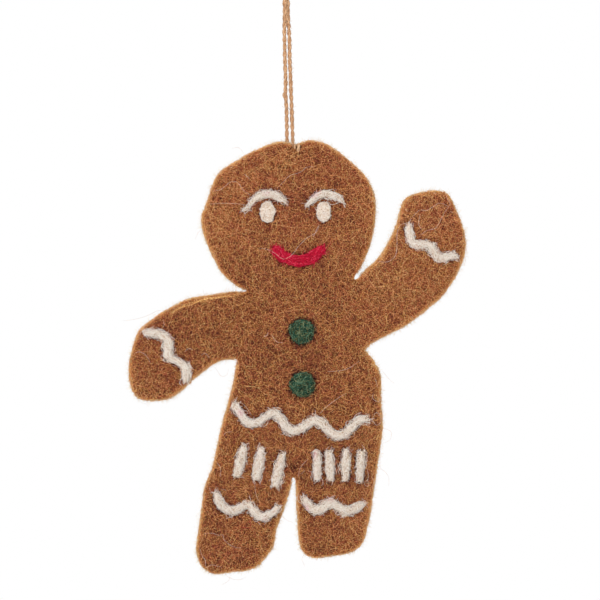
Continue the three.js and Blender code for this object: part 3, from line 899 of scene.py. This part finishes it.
def makeFelt():
    body = remeshed("felt_body", "feltFigure", felt["grain"])
    mesh = body.data
    places, normals, facing = surfaceOf(mesh)
    onFront = np.clip(facing * 1.6 - 0.4, 0, 1)
    onBack = np.clip(-facing * 1.6 - 0.4, 0, 1)
    level = places.copy()
    level[:, 1] = np.where(facing > 0, frontY, places[:, 1])
    away = feltedDistance(level, [*strips, *pads, "mouth"])
    press = fading(away, felt["pressReach"]) * (onFront > 0)
    bulge = felt["lump"] * lumps(places, felt["lumpSize"], 3)
    bulge += felt["dimple"] * lumps(places, felt["dimpleSize"], 5) - felt["pressDepth"] * press
    # Painted highlight on the cut edge, strongest where the surface faces sideways, in uneven patches
    uneven = 1 + felt["rimHighlightUneven"] * lumps(places, felt["rimHighlightPatch"], 19)
    tone = felt["rimHighlight"] * np.clip(1 - facing**2, 0, 1) * uneven
    tone += felt["backLift"] * onBack
    # Painted shade in the needle's dent round the felted pieces, uneven
    tone -= press * (felt["dentShade"] + felt["dentShadeUneven"] * lumps(places, felt["dentShadePatch"], 15))
    # Deeper painted shade round the buttons
    byButton = feltedDistance(level, ["upper_button", "lower_button"])
    tone -= felt["buttonShade"] * fading(byButton, felt["pressReach"]) * (onFront > 0)
    # Each mark is dented, with painted shade in the dent
    for x, y, reach, depth, darker in feltMarks:
        near = nearness(places, x, y, reach) * (onFront > 0)
        bulge -= depth * mm * near
        tone += darker * near
    for a, b in zip(cutEdge, cutEdge[1:]):
        for share in (0, 0.25, 0.5, 0.75):
            x, y = a[0] + (b[0] - a[0]) * share, a[1] + (b[1] - a[1]) * share
            tone += sum(lift * nearness(places, x, y - over, reach) for over, reach, lift in edgeLines)
    for x, y, reach, lift in shadePatches:
        tone += lift * nearness(places, x, y, reach)
    tint = felt["red"] + felt["redUneven"] * lumps(places, felt["blush"], 21)
    for x, y, reach, strength in redPatches:
        tint += felt["redPatch"] * strength * nearness(places, x, y, reach)
    tint *= np.clip(np.abs(facing) * 1.4, 0.35, 1)
    shifted = places + normals * bulge[:, None]
    for x, y, reach, right, down in deeper:
        near = nearness(places, x, y, reach) * photo["pixelSize"]
        shifted[:, 0] += right * near
        shifted[:, 2] -= down * near
    moveCorners(mesh, shifted)
    bare = np.ones(len(places))
    stitchHoles = [mark[:3] for mark in feltMarks if mark[3] > felt["stitchHole"]]
    for x, y, reach in [*notches, *stitchHoles]:
        bare *= 1 - nearness(places, x, y, reach)
    ridges = np.concatenate([ridgeOf(node) for node in strips])
    beside = spans(places[:, [0, 2]], ridges).min(1)
    for name, values in {
        "toneLift": tone,
        "tintLift": np.clip(tint, 0, 1),
        "frontCover": onFront * (away > felt["coverGap"]) * bare,
        "edgeCover": onFront * fading(beside - felt["stripEdge"], felt["edgeReach"]),
        "backCover": onBack * bare,
        "rimCover": np.clip(1.25 - np.abs(facing) * 1.3, 0, 1) * bare**2,
    }.items():
        keepNumbers(mesh, name, values)
    mesh.shade_smooth()
    mesh.materials.append(feltMaterial())
    print("felt:", len(mesh.polygons), "faces")
    return body


# Needle-punched wool felt under the loose fibres: a tangle of dark and ginger hair, dull and soft
def feltMaterial():
    material, add = newMaterial("needlePunchedBrownFelt")
    place = add("ShaderNodeTexCoord").outputs["Object"]
    lift, tint = (add("field", attribute_name=kind).outputs["Fac"] for kind in ("toneLift", "tintLift"))
    swirl, hair = (
        add("noise", {"Vector": place, "Scale": 1 / size, "Detail": detail, "Distortion": distortion})
        for size, detail, distortion in ((felt["swirl"], 4.0, 2.6), (felt["hair"], 2.0, 4.0))
    )
    tangle = add("math", (swirl, hair), "ADD")
    shade = add("range", {0: tangle, 1: 0.7, 2: 1.3, 3: 0.02, 4: 0.62})
    toned = add("math", (lift, 0.8, shade), "MULTIPLY_ADD")
    colour = addTinted(add, toned, tint, [
        (0, "#2e180f", "#2c120d"), (0.2, "#522d1c", "#562618"), (0.45, "#824d2a", "#864327"),
        (0.7, "#b0733c", "#b0653d"), (1, "#dfaa69", "#dba170"),
    ])
    bump = add("ShaderNodeBump", {"Strength": 0.6, "Distance": felt["bump"], "Height": tangle})
    return finishMaterial(material, colour, 0.95, 0.1, bump)


# Layers of loose fibre over the felt, from the dark ones that lie deep to the pale ones on top: the wool's
# own mixed colours, with painted shade making the deeper layers darker.
# Each fibre is as thick as a small lock of real ones, so that it shows in the picture.
feltFibre = dict(
    Cover="frontCover", Density=1.6e6, Shortest=0.9, Longest=2.2, Thickness=0.12, Wander=0.2,
    WanderSize=0.7, Bow=0.4, Highest=0.12, Spread=math.pi, Root=0.5, Laid=0.95, Patchiness=0.1,
    Mixing=1.1, Joints=3, Material=brownWool,
)
woolLayers = {
    "frontWoolDeep": dict(Darkest=0.0, Lightest=0.3, Seed=101, Thickness=0.22),
    "frontWoolUnder": dict(
        Darkest=0.0, Lightest=0.5, Seed=102, Lowest=0.04, Highest=0.18, Density=1.75e6,
    ),
    "frontWoolMiddle": dict(
        Darkest=0.15, Lightest=0.75, Seed=103, Lowest=0.08, Highest=0.24, Density=1.85e6,
    ),
    "frontWoolUpper": dict(
        Darkest=0.45, Lightest=0.9, Seed=104, Lowest=0.12, Highest=0.32, Density=1.85e6,
    ),
    "frontWoolTop": dict(
        Darkest=0.45, Lightest=0.9, Seed=109, Lowest=0.25, Highest=0.45, Density=0.4e6, Laid=0.9,
        Shortest=2.2, Longest=6.5, Thickness=0.11, Bow=1.6, Wander=0.4, WanderSize=1.6, Joints=10,
    ),
    "backWoolDeep": dict(
        Cover="backCover", Density=1.3e6, Darkest=0.0, Lightest=0.5, Seed=105, Thickness=0.24,
    ),
    "backWoolTop": dict(
        Cover="backCover", Density=1.5e6, Darkest=0.0, Lightest=0.6, Seed=106, Lowest=0.1,
        Highest=0.3, Thickness=0.19, Longest=3.4,
    ),
    "edgeWool": dict(
        Cover="edgeCover", Density=4.0e6, Darkest=0.1, Lightest=0.65, Seed=110, Shortest=0.5,
        Longest=1.5, Thickness=0.1, Lowest=0.35, Highest=0.85,
    ),
    "rimLocks": dict(
        Cover="rimCover", Density=2.2e6, Darkest=0.0, Lightest=0.95, Seed=111, Shortest=0.4,
        Longest=1.2, Thickness=0.14, Root=0.05, LeastTilt=0.1, MostTilt=0.9, Laid=0.0, Mixing=0.0,
        Material=edgeWool,
    ),
    "rimWool": dict(
        Cover="rimCover", Density=2.6e6, Darkest=0.0, Lightest=0.75, Seed=107, Thickness=0.15,
        Highest=0.4, Mixing=0.6,
    ),
    "rimFuzz": dict(
        Cover="rimCover", Density=2.0e6, Darkest=0.2, Lightest=0.7, Seed=108, Shortest=0.6,
        Longest=2.2, Thickness=0.045, Root=0.05, Joints=5, Mixing=0.0, Material=edgeWool,
        LeastTilt=0.2, MostTilt=1.3, Wander=0.45, WanderSize=1.1, Bow=0.4, Laid=0.0,
    ),
}


def makeWool(body):
    total = 0
    for name, changes in woolLayers.items():
        layer = grown(name, body, curlTree, **{**feltFibre, **changes})
        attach(layer, "figure")
        total += trianglesOf(layer)
        print(name, trianglesOf(layer), "triangles")
    print("wool over the felt:", total, "triangles")


feltBody = makeFelt()
makeWool(feltBody)
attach(feltBody, "figure")
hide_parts("felt_body")


# The wool that is needle-felted on to it

pad = {
    "grain": 0.26 * mm,
    "sink": 0.9 * mm,  # below the front, so that no gap shows over the dent
    "sinkFrom": 0.15 * mm,  # proud of the front
    "lumpSize": 0.9 * mm,
    "lump": 0.1 * mm,
    "edgeSize": 1.3 * mm,
    "toneSize": 0.7 * mm,
    "toneUneven": 0.4,
    "mouthTint": 0.3,  # of that elsewhere
    "flat": 0.7,  # of its packed height
}
# How far the dense wool (core) and the roots of its loose fibres (skirt) stay inside the outline,
# how uneven the outline is, all in millimetres, and the tone of the wool below, kept below that of most of
# its loose fibres as painted shade in the gaps between them
shapes = {
    "strip": dict(core=0.45, skirt=0.2, edge=0.5, tone=0.45),
    "stripe": dict(core=0.4, skirt=0.2, edge=0.3, tone=0.45),
    "brow": dict(core=0.58, skirt=0.36, edge=0.35, tone=0.45),
    "mouth": dict(core=0.1, skirt=0.2, edge=0.25, tone=0.3),
    "eye": dict(core=0.2, skirt=0.3, edge=0.2, tone=0.6),
    "button": dict(core=0.35, skirt=0.2, edge=0.35, tone=0.15),
}
# Blunt ends: a place in the picture, its reach and how far it swells, both in millimetres
swells = [
    (277.0, 251.0, 1.6, 1.1), (321.0, 249.5, 1.4, 0.6), (263.8, 219.0, 1.0, 0.4),
    (271.0, 220.0, 1.0, 0.4), (275.0, 211.0, 0.8, 0.3), (286.0, 257.5, 2.0, 0.35),
    (314.0, 259.0, 2.0, 0.5), (246.5, 207.5, 1.3, -0.6), (240.5, 463.0, 3.5, 0.25),
    (258.5, 467.0, 3.5, 0.25), (279.0, 472.0, 3.5, 0.25), (276.0, 507.5, 1.0, 0.5),
    (300.5, 501.0, 1.0, 0.5), (360.5, 506.0, 1.2, 0.4), (249.0, 498.5, 0.9, 1.0),
    (331.0, 497.5, 0.8, 0.5), (282.0, 503.0, 0.8, -0.6), (328.5, 245.5, 1.2, -0.9),
    (365.0, 418.5, 1.2, 0.4), (236.0, 407.0, 1.2, 0.3),
]
# Where pink or brown wool was carded in: a place in the picture and its reach in millimetres
tintSpots = [
    (241.3, 413, 0.9), (313, 454.5, 0.9), (305.5, 507, 0.9), (331.7, 498.3, 0.6), (248.3, 496.7, 0.5),
    (263.3, 519.2, 0.5), (315, 193.3, 0.9), (266.7, 192.5, 0.6),
]
# Fibres of the roving along a strip, those that curl on it, and the wisps that stray from it
along = dict(
    Cover="cover", Density=2.0e6, Shortest=1.6, Longest=4.0, Thickness=0.18, Wander=0.3,
    WanderSize=1.0, Bow=0.3, Lowest=0.1, Highest=0.4, Spread=0.3, Root=0.5, Laid=1.0, Drape=True,
    Ground=feltBody, Darkest=0.5, Lightest=1.0, Patchiness=0.1, Mixing=0.15, Joints=7,
)
curls = dict(
    along, Density=1.0e6, Shortest=1.4, Longest=2.8, Wander=0.5, Bow=0.9, Spread=math.pi, Lowest=0.25,
    Highest=0.45, Darkest=0.6, Thickness=0.15,
)
stripeAlong = dict(along, Density=1.6e6, Shortest=1.0, Longest=2.2)
stripeCurls = dict(
    curls, Density=2.6e6, Shortest=1.0, Longest=2.0, Thickness=0.2, Darkest=0.4, Bow=0.6, Wander=0.3,
)
wisps = dict(
    along, Density=1.8e6, Longest=4.2, Thickness=0.13, Wander=0.8, Bow=1.3, Spread=1.1, Lowest=0.3,
    Highest=0.6, Darkest=0.75,
)
fewWisps = dict(wisps, Density=0.6e6, Shortest=1.0, Longest=2.2)
# Dark fibres at a strip's edges: painted shade in the gaps between its locks
gapShadeFibres = dict(
    wisps, Density=1.2e6, Shortest=0.6, Longest=1.3, Darkest=0.0, Lightest=0.5, Wander=0.3, Bow=0.3,
    Lowest=0.1, Highest=0.3, Joints=4,
)
eyeCurls = dict(
    curls, Density=3.4e6, Darkest=0.5, Lightest=0.9, Shortest=1.0, Longest=2.0, Bow=0.5, Wander=0.3,
)
eyeGapShadeFibres = dict(gapShadeFibres, Density=0.6e6, Wander=0.4)
buttonCurls = dict(
    curls, Density=4.0e6, Darkest=0.15, Thickness=0.13, Longest=3.0, Bow=0.6, Mixing=0.9,
)
buttonWisps = dict(fewWisps, Density=2.4e6, Darkest=0.0, Lightest=0.5, Lowest=0.1, Spread=math.pi)
mouthAlong = dict(along, Density=3e6, Darkest=0.1, Lightest=0.85, Spread=0.6, Mixing=0.0)
mouthCurls = dict(curls, Darkest=0.3, Lightest=0.75, Mixing=0.0)
mouthWisps = dict(fewWisps, Darkest=0.1, Lightest=0.5)


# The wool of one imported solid, drawn in from its outline and flattened
def woolShape(node, name, uneven, inset, flat):
    piece = remeshed(node, name, pad["grain"])
    mesh = piece.data
    places, normals, facing = surfaceOf(mesh)
    sideways = np.sqrt(np.clip(1 - facing**2, 0, 1))
    edge = uneven * mm * lumps(places, pad["edgeSize"], 9) - inset * mm
    for x, y, reach, swell in swells:
        edge += swell * mm * nearness(places, x, y, reach)
    bulge = pad["lump"] * lumps(places, pad["lumpSize"], 7) + edge * sideways
    tint = sum(nearness(places, x, y, reach) for x, y, reach in tintSpots)
    tint = np.clip(tint, 0, 1) * (pad["mouthTint"] if node == "mouth" else 1)
    places = places + normals * bulge[:, None]
    proud = np.clip(frontY - places[:, 1], 0, None)
    places[:, 1] += proud * (1 - flat)
    places[:, 1] += np.where(places[:, 1] > frontY - pad["sinkFrom"], pad["sink"], 0)
    moveCorners(mesh, places)
    keepNumbers(mesh, "fibreTint", tint)
    keepNumbers(mesh, "tintLift", tint)
    keepNumbers(mesh, "cover", np.clip(facing * 2 + 0.5, 0, 1))
    return piece, places, facing


def makeFelted(node, name, material, seed, layers):
    kind = "strip" if node in strips else node.split("_")[-1]
    shape = shapes[next((word for word in ("stripe", "brow") if word in node), kind)]
    core, places, facing = woolShape(node, name, shape["edge"], shape["core"], pad["flat"])
    mesh = core.data
    # Painted shade: the wool below is darker where it turns away from the front
    tones = shape["tone"] * np.clip(facing * 1.5, 0.5, 1)
    tones += pad["toneUneven"] * lumps(places, pad["toneSize"], 13)
    keepNumbers(mesh, "fibreTone", np.clip(tones, 0.03, 0.9))
    layTones(mesh)
    mesh.shade_smooth()
    mesh.materials.append(material)
    skirt, places, facing = woolShape(node, "skirt", shape["edge"], shape["skirt"], 1)
    if kind in ("strip", "mouth"):
        ridge = ridgeOf(node)
        steps = np.gradient(ridge, axis=0)
        lie = steps[spans(places[:, [0, 2]], ridge).argmin(1)]
        keepNumbers(skirt.data, "grain", np.stack([lie[:, 0], 0 * lie[:, 0], lie[:, 1]], 1) / mm)
    wool = [
        grown(name + "Fibres", skirt, curlTree, **layer, Seed=seed + i, Core=core, Material=material)
        for i, layer in enumerate(layers)
    ]
    dropPiece(skirt)
    piece = joined(name, [core, *wool])
    forgetNumbers(piece.data, ("cover", "grain", "tintLift"))
    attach(piece, "figure")
    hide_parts(node)
    print(name, trianglesOf(piece), "triangles")


# A map that goes by tone and tint, as that of the fibres does
def layTones(mesh):
    fields = []
    for name in ("fibreTone", "fibreTint"):
        values = np.empty(len(mesh.vertices), np.float32)
        mesh.attributes[name].data.foreach_get("value", values)
        fields.append(values)
    layout = mesh.uv_layers.new(name="OFBake")
    ends = np.empty(len(mesh.loops), np.int32)
    mesh.loops.foreach_get("vertex_index", ends)
    places = cornersOf(mesh)
    sway = 0.01 * np.sin(places[:, 0] / mm * 5 + places[:, 2] / mm * 9)
    both = np.stack([fields[0] * 0.9 + 0.045 + sway, fields[1] * 0.9 + 0.05 + sway[::-1]], 1)
    layout.uv.foreach_set("vector", both[ends].astype(np.float32).ravel())


for index, (node, name) in enumerate(strips.items()):
    looped = [stripeAlong, stripeCurls] if "stripe" in node else [along, curls]
    makeFelted(node, name, whiteWool, 200 + 5 * index, [*looped, wisps, gapShadeFibres])
makeFelted("mouth", "mouthWool", redWool, 300, [mouthAlong, mouthCurls, mouthWisps])
for index, (node, name) in enumerate(pads.items()):
    if "eye" in node:
        makeFelted(node, name, whiteWool, 323 + 5 * index, [eyeCurls, fewWisps, eyeGapShadeFibres])
    else:
        makeFelted(node, name, greenWool, 320 + 5 * index, [buttonCurls, buttonWisps])
print("felted pieces made")


# Single hairs that lie across the figure and stand off it, each along points of the picture

hairStep = 0.5 * mm
paleHairs = [
    [(276.7, 188.3), (281.7, 183.7), (290, 175.8), (300, 172.5), (306.7, 167.5), (313.3, 166.7)],
    [(210, 204.2), (225, 203.3), (240, 204.2), (250, 205.8)],
    [(211.7, 191.7), (221.7, 189.2), (230, 182.5), (237.5, 182.5), (243.3, 190), (250, 195)],
    [
        (319.2, 224.2), (316.7, 231.7), (306.7, 238.3), (298.3, 246.7), (291.7, 255), (283.3, 259.2),
        (275, 253.3), (266.7, 249.2), (260, 248.3),
    ],
    [(318.3, 225.8), (315, 233.3), (313.3, 237.5)],
    [(405.5, 222.8), (400, 226), (397, 233), (396.8, 246.7), (395, 256), (388, 261.7), (376.7, 261.7)],
    [
        (410.8, 219), (417, 212), (420, 210), (426, 210.5), (432, 207.5), (438, 203.5), (443, 204),
        (448, 206.5),
    ],
    [(448.3, 206.5), (445, 212), (441.5, 218), (438, 225), (434, 229), (427, 230.5), (420, 235.5)],
    [(420, 214.5), (418.5, 222), (419.5, 227), (422, 230)],
    [(445.5, 195.5), (447, 199), (450, 204), (448.5, 206.5)], [(404.5, 209.5), (408, 212)],
    [(450, 211.5), (453.5, 213.5)],
    [(327, 371.5), (336, 371), (343, 370), (350, 367.5), (355, 364), (359, 361)],
    [(319.5, 414), (326, 407), (334, 401), (341, 396), (347, 393)],
    [(374, 377), (376, 381), (377.5, 387)], [(365, 465), (367.5, 460), (365.5, 456)],
    [(369, 479.5), (365, 481), (364.5, 484.5), (367.5, 486), (369, 482.5), (366, 479.5)],
    [(371, 476), (374, 481), (372, 487)], [(333, 459), (337, 463), (338, 469), (335, 474)],
    [(301, 474), (305, 470)],
    [
        (204, 534), (207, 533), (213, 533), (219, 535), (223, 534.5), (224, 539), (228, 543), (233, 546),
        (238, 547.5), (241, 547),
    ],
    [
        (199.5, 547), (202, 555), (205.5, 560), (205.5, 566), (208, 567), (211, 564.5), (215, 565),
        (218, 566), (221, 566.5), (222, 568),
    ],
    [(209, 487), (212, 493)], [(217.5, 487), (218.5, 492)], [(222, 489), (227, 490)],
    [(213, 492), (217, 495)], [(244.2, 174.2), (250, 179.2)],
    [(135, 353.3), (140, 351.7), (146.7, 355.8), (150.8, 363.3)],
    [(163.3, 320), (164.5, 324), (162.5, 328.3)], [(184, 352), (189, 348.5), (193, 350)],
    [(201, 356), (205, 353), (210, 358)], [(263.3, 336.7), (267, 335.5), (268.3, 331.7)],
    [(271.7, 335), (276.7, 341.7), (283.3, 342.5)],
    [(373.3, 393.3), (372.5, 398.3), (378.3, 401.7), (380.5, 398.3)],
    [(379, 412), (375, 413.3), (372.5, 420), (376.7, 425), (380.8, 421.7), (379.5, 415), (375, 411.5)],
    [(255, 485), (255.8, 493.3), (258.3, 500)], [(216.7, 461.7), (220.8, 468.3), (220, 476.7)],
    [(223.3, 435), (227, 432), (231.7, 431.7)],
    [(298.3, 476.7), (300, 468.3), (305, 461.7), (308.3, 458.3)],
    [(366.7, 483.3), (368.3, 475), (366.7, 468.3)], [(241, 402), (247, 408), (252, 416)],
]
flyaways = [
    [(122, 321), (135, 319.2), (146.7, 315.8), (158, 310.5), (170, 312)],
    [(202.5, 289), (205, 297), (208.5, 303.5)],
    [(214, 366), (218.3, 373.3), (221.7, 376.7), (226.7, 375), (228.3, 369)],
    [(381, 455), (380.5, 468), (385, 472), (389, 478), (389, 487)],
    [(382, 428), (391, 432), (390.5, 440), (383, 444)], [(382, 370), (388, 378), (395, 384)],
    [(231, 575), (228, 582), (221, 586)], [(279, 512), (283.3, 518.3), (288.3, 521.7), (293.3, 523.3)],
    [(222, 570), (228, 578), (238, 581), (246, 578)], [(204, 228), (198, 232), (195, 239)],
    [(372, 300), (378, 296), (381, 289)], [(133, 392), (138, 401), (147, 405)],
    [(462, 252), (466, 258), (465, 266)], [(306, 553), (302, 560), (305, 567)],
    [(243, 152), (238, 147), (231, 148)],
]
redWisps = [
    [(327, 246), (329.5, 243), (331, 239.5)], [(325, 249), (330, 245), (334, 240)],
    [(272, 250), (270.5, 246), (272, 243)], [(274, 254), (270.5, 250.5), (269.5, 248)],
    [(239, 525), (242, 527), (247, 527.5), (251, 526), (250, 522), (252, 518)],
]
# Dark hairs beside the stitch: painted shadow in its holes in the felt
stitchGaps = [
    [(292.1, 146.8), (292.6, 147.8)], [(296.5, 145.4), (296.4, 148.6)], [(300.8, 145.0), (300.7, 148.5)],
    [(294.2, 150.6), (295.8, 151.2)],
]
browTail = [
    [(252, 203), (248.5, 206.5), (245, 209), (243, 211)],
    [(253, 204), (249.5, 207.5), (247, 207), (243.5, 209.5)], [(251, 202), (246, 206), (244, 211.5)],
]
# Eight rows of loose hair along the cut edge, each with its own waves
cutEdgeHairs = [
    [
        (x + 2 * math.sin(1.7 * i + k), y + 1.1 * math.sin(2.3 * i + 1.9 * k))
        for i, (x, y) in enumerate(cutEdge[k % 2 :])
    ]
    for k in range(8)
]
# Each kind's routes, wool and slot, its thickness and how proud of the front it lies, both in
# millimetres, and its tone
strayHairs = {
    "paleStrayHairs": (paleHairs, whiteWool, "white_wool", 0.065, 0.85, 0.65),
    "flyawayHairs": (flyaways, brownWool, "brown_felt", 0.045, -2.2, 0.6),
    "cutEdgeHairs": (cutEdgeHairs, brownWool, "brown_felt", 0.1, 0.4, 0.85),
    "mouthWisps": (redWisps, redWool, "red_wool", 0.09, 0.85, 0.35),
    "stitchGaps": (stitchGaps, brownWool, "brown_felt", 0.28, 0.5, -0.1),
    "browTailWisps": (browTail, whiteWool, "white_wool", 0.15, 0.85, 0.7),
}
for name, (routes, material, slotName, thickness, proud, tone) in strayHairs.items():
    look = {"Thickness": thickness, "Tone": tone, "Tint": 0.0}
    piece = joined(name, hairsAlong(routes, proud * mm, hairStep, material, **look))
    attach(piece, "figure")
    print(name, len(routes), "hairs")


# The stitch of twine on the head, over its dimple

stitchRoutes = [
    [(294.9, 144.6), (294.6, 146.6), (295.0, 148.8)], [(298.7, 143.8), (298.6, 147.5), (298.0, 151.3)],
]
stitchLook = {"proud": 0.22 * mm, "step": 0.3 * mm}
stitchTwine = dict(twinePlies, PlyRadius=0.28, PlyOffset=0.18, Lay=-2.8, Sides=7, Tone=0.18)


def makeStitch():
    bits = []
    for pixels in stitchRoutes:
        points = [onPhoto(x, y, stitchLook["proud"]) for x, y in pixels]
        route = smoothRoute(points, stitchLook["step"])
        bits.append(grownAlong("stitchBit", route, twineTree, **stitchTwine, Material=jute))
    stitch = joined("headStitchTwine", bits)
    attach(stitch, "figure")
    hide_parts("head_stitch")


makeStitch()
print("stitch made")


# The studio: a white backdrop, a pale floor under the figure and large soft lamps

studio = {
    "floorZ": -0.26,
    "floorHalf": 3.0,
    "floorNear": 0.12,  # where the floor starts to fade into the backdrop
    "floorFar": 0.45,
    "worldStrength": 0.42,
}
lamps = {
    "keyLamp": {"place": (-0.55, -0.95, 0.55), "size": 0.7, "power": 13.0},
    "fillLamp": {"place": (0.8, -0.8, 0.0), "size": 0.9, "power": 4.5},
    "backLamp": {"place": (0.2, 0.9, 0.5), "size": 0.8, "power": 5.0},
}


# How far a ray is one that shows the backdrop white: seen by the camera, or in something glossy
def addSeen(add):
    path = add("ShaderNodeLightPath").outputs
    seen = add("math", (path["Is Camera Ray"], path["Is Glossy Ray"]), "MAXIMUM")
    return add("math", (seen, path["Is Transmission Ray"]), "MAXIMUM")


def makeWorld():
    world = bpy.data.worlds.new("studioWorld")
    world.use_nodes = True
    bpy.context.scene.world = world
    tree = world.node_tree
    add = partial(addNode, tree)
    lit = tree.nodes["Background"]
    lit.inputs["Color"].default_value = (1, 1, 1, 1)
    lit.inputs["Strength"].default_value = studio["worldStrength"]
    shown = add("ShaderNodeBackground", ((1, 1, 1, 1), 1.0))
    mix = add("ShaderNodeMixShader", (addSeen(add), lit, shown))
    tree.links.new(mix.outputs[0], tree.nodes["World Output"].inputs["Surface"])


# Matt white paper that keeps the shadow near the figure and fades into the backdrop
def floorMaterial():
    material, add = newMaterial("mattWhitePaper")
    tree = material.node_tree
    shader = tree.nodes["Principled BSDF"]
    shader.inputs["Base Color"].default_value = hexColour("#f2f0ee")
    shader.inputs["Roughness"].default_value = 0.95
    place = add("ShaderNodeTexCoord").outputs["Object"]
    flat = add("vectors", (place, (1, 1, 0)), "MULTIPLY")
    reach = add("vectors", (flat,), "LENGTH").outputs[1]
    fade = add(
        "range", (reach, studio["floorNear"], studio["floorFar"], 0.25, 1.0),
        interpolation_type="SMOOTHSTEP",
    )
    shown = add("math", (fade, addSeen(add)), "MULTIPLY")
    glow = add("ShaderNodeEmission", ((1, 1, 1, 1), 1.0))
    mix = add("ShaderNodeMixShader", (shown, shader, glow))
    tree.links.new(mix.outputs[0], tree.nodes["Material Output"].inputs["Surface"])
    return material


def makeStudio():
    half, z = studio["floorHalf"], studio["floorZ"]
    corners = [(-half, -half, z), (half, -half, z), (half, half, z), (-half, half, z)]
    floor = meshPiece("floor", corners, faces=[(0, 1, 2, 3)])
    floor.data.materials.append(floorMaterial())
    aim = Vector((photo["middleX"], 0, photo["middleZ"]))
    for name, lamp in lamps.items():
        data = bpy.data.lights.new(name, "AREA")
        data.shape = "DISK"
        data.size = lamp["size"]
        data.energy = lamp["power"]
        light = linked(bpy.data.objects.new(name, data))
        light.location = lamp["place"]
        light.rotation_euler = (aim - light.location).to_track_quat("-Z", "Y").to_euler()
    makeWorld()
    bpy.context.scene.view_settings.view_transform = "Standard"


makeStudio()
print("studio set")
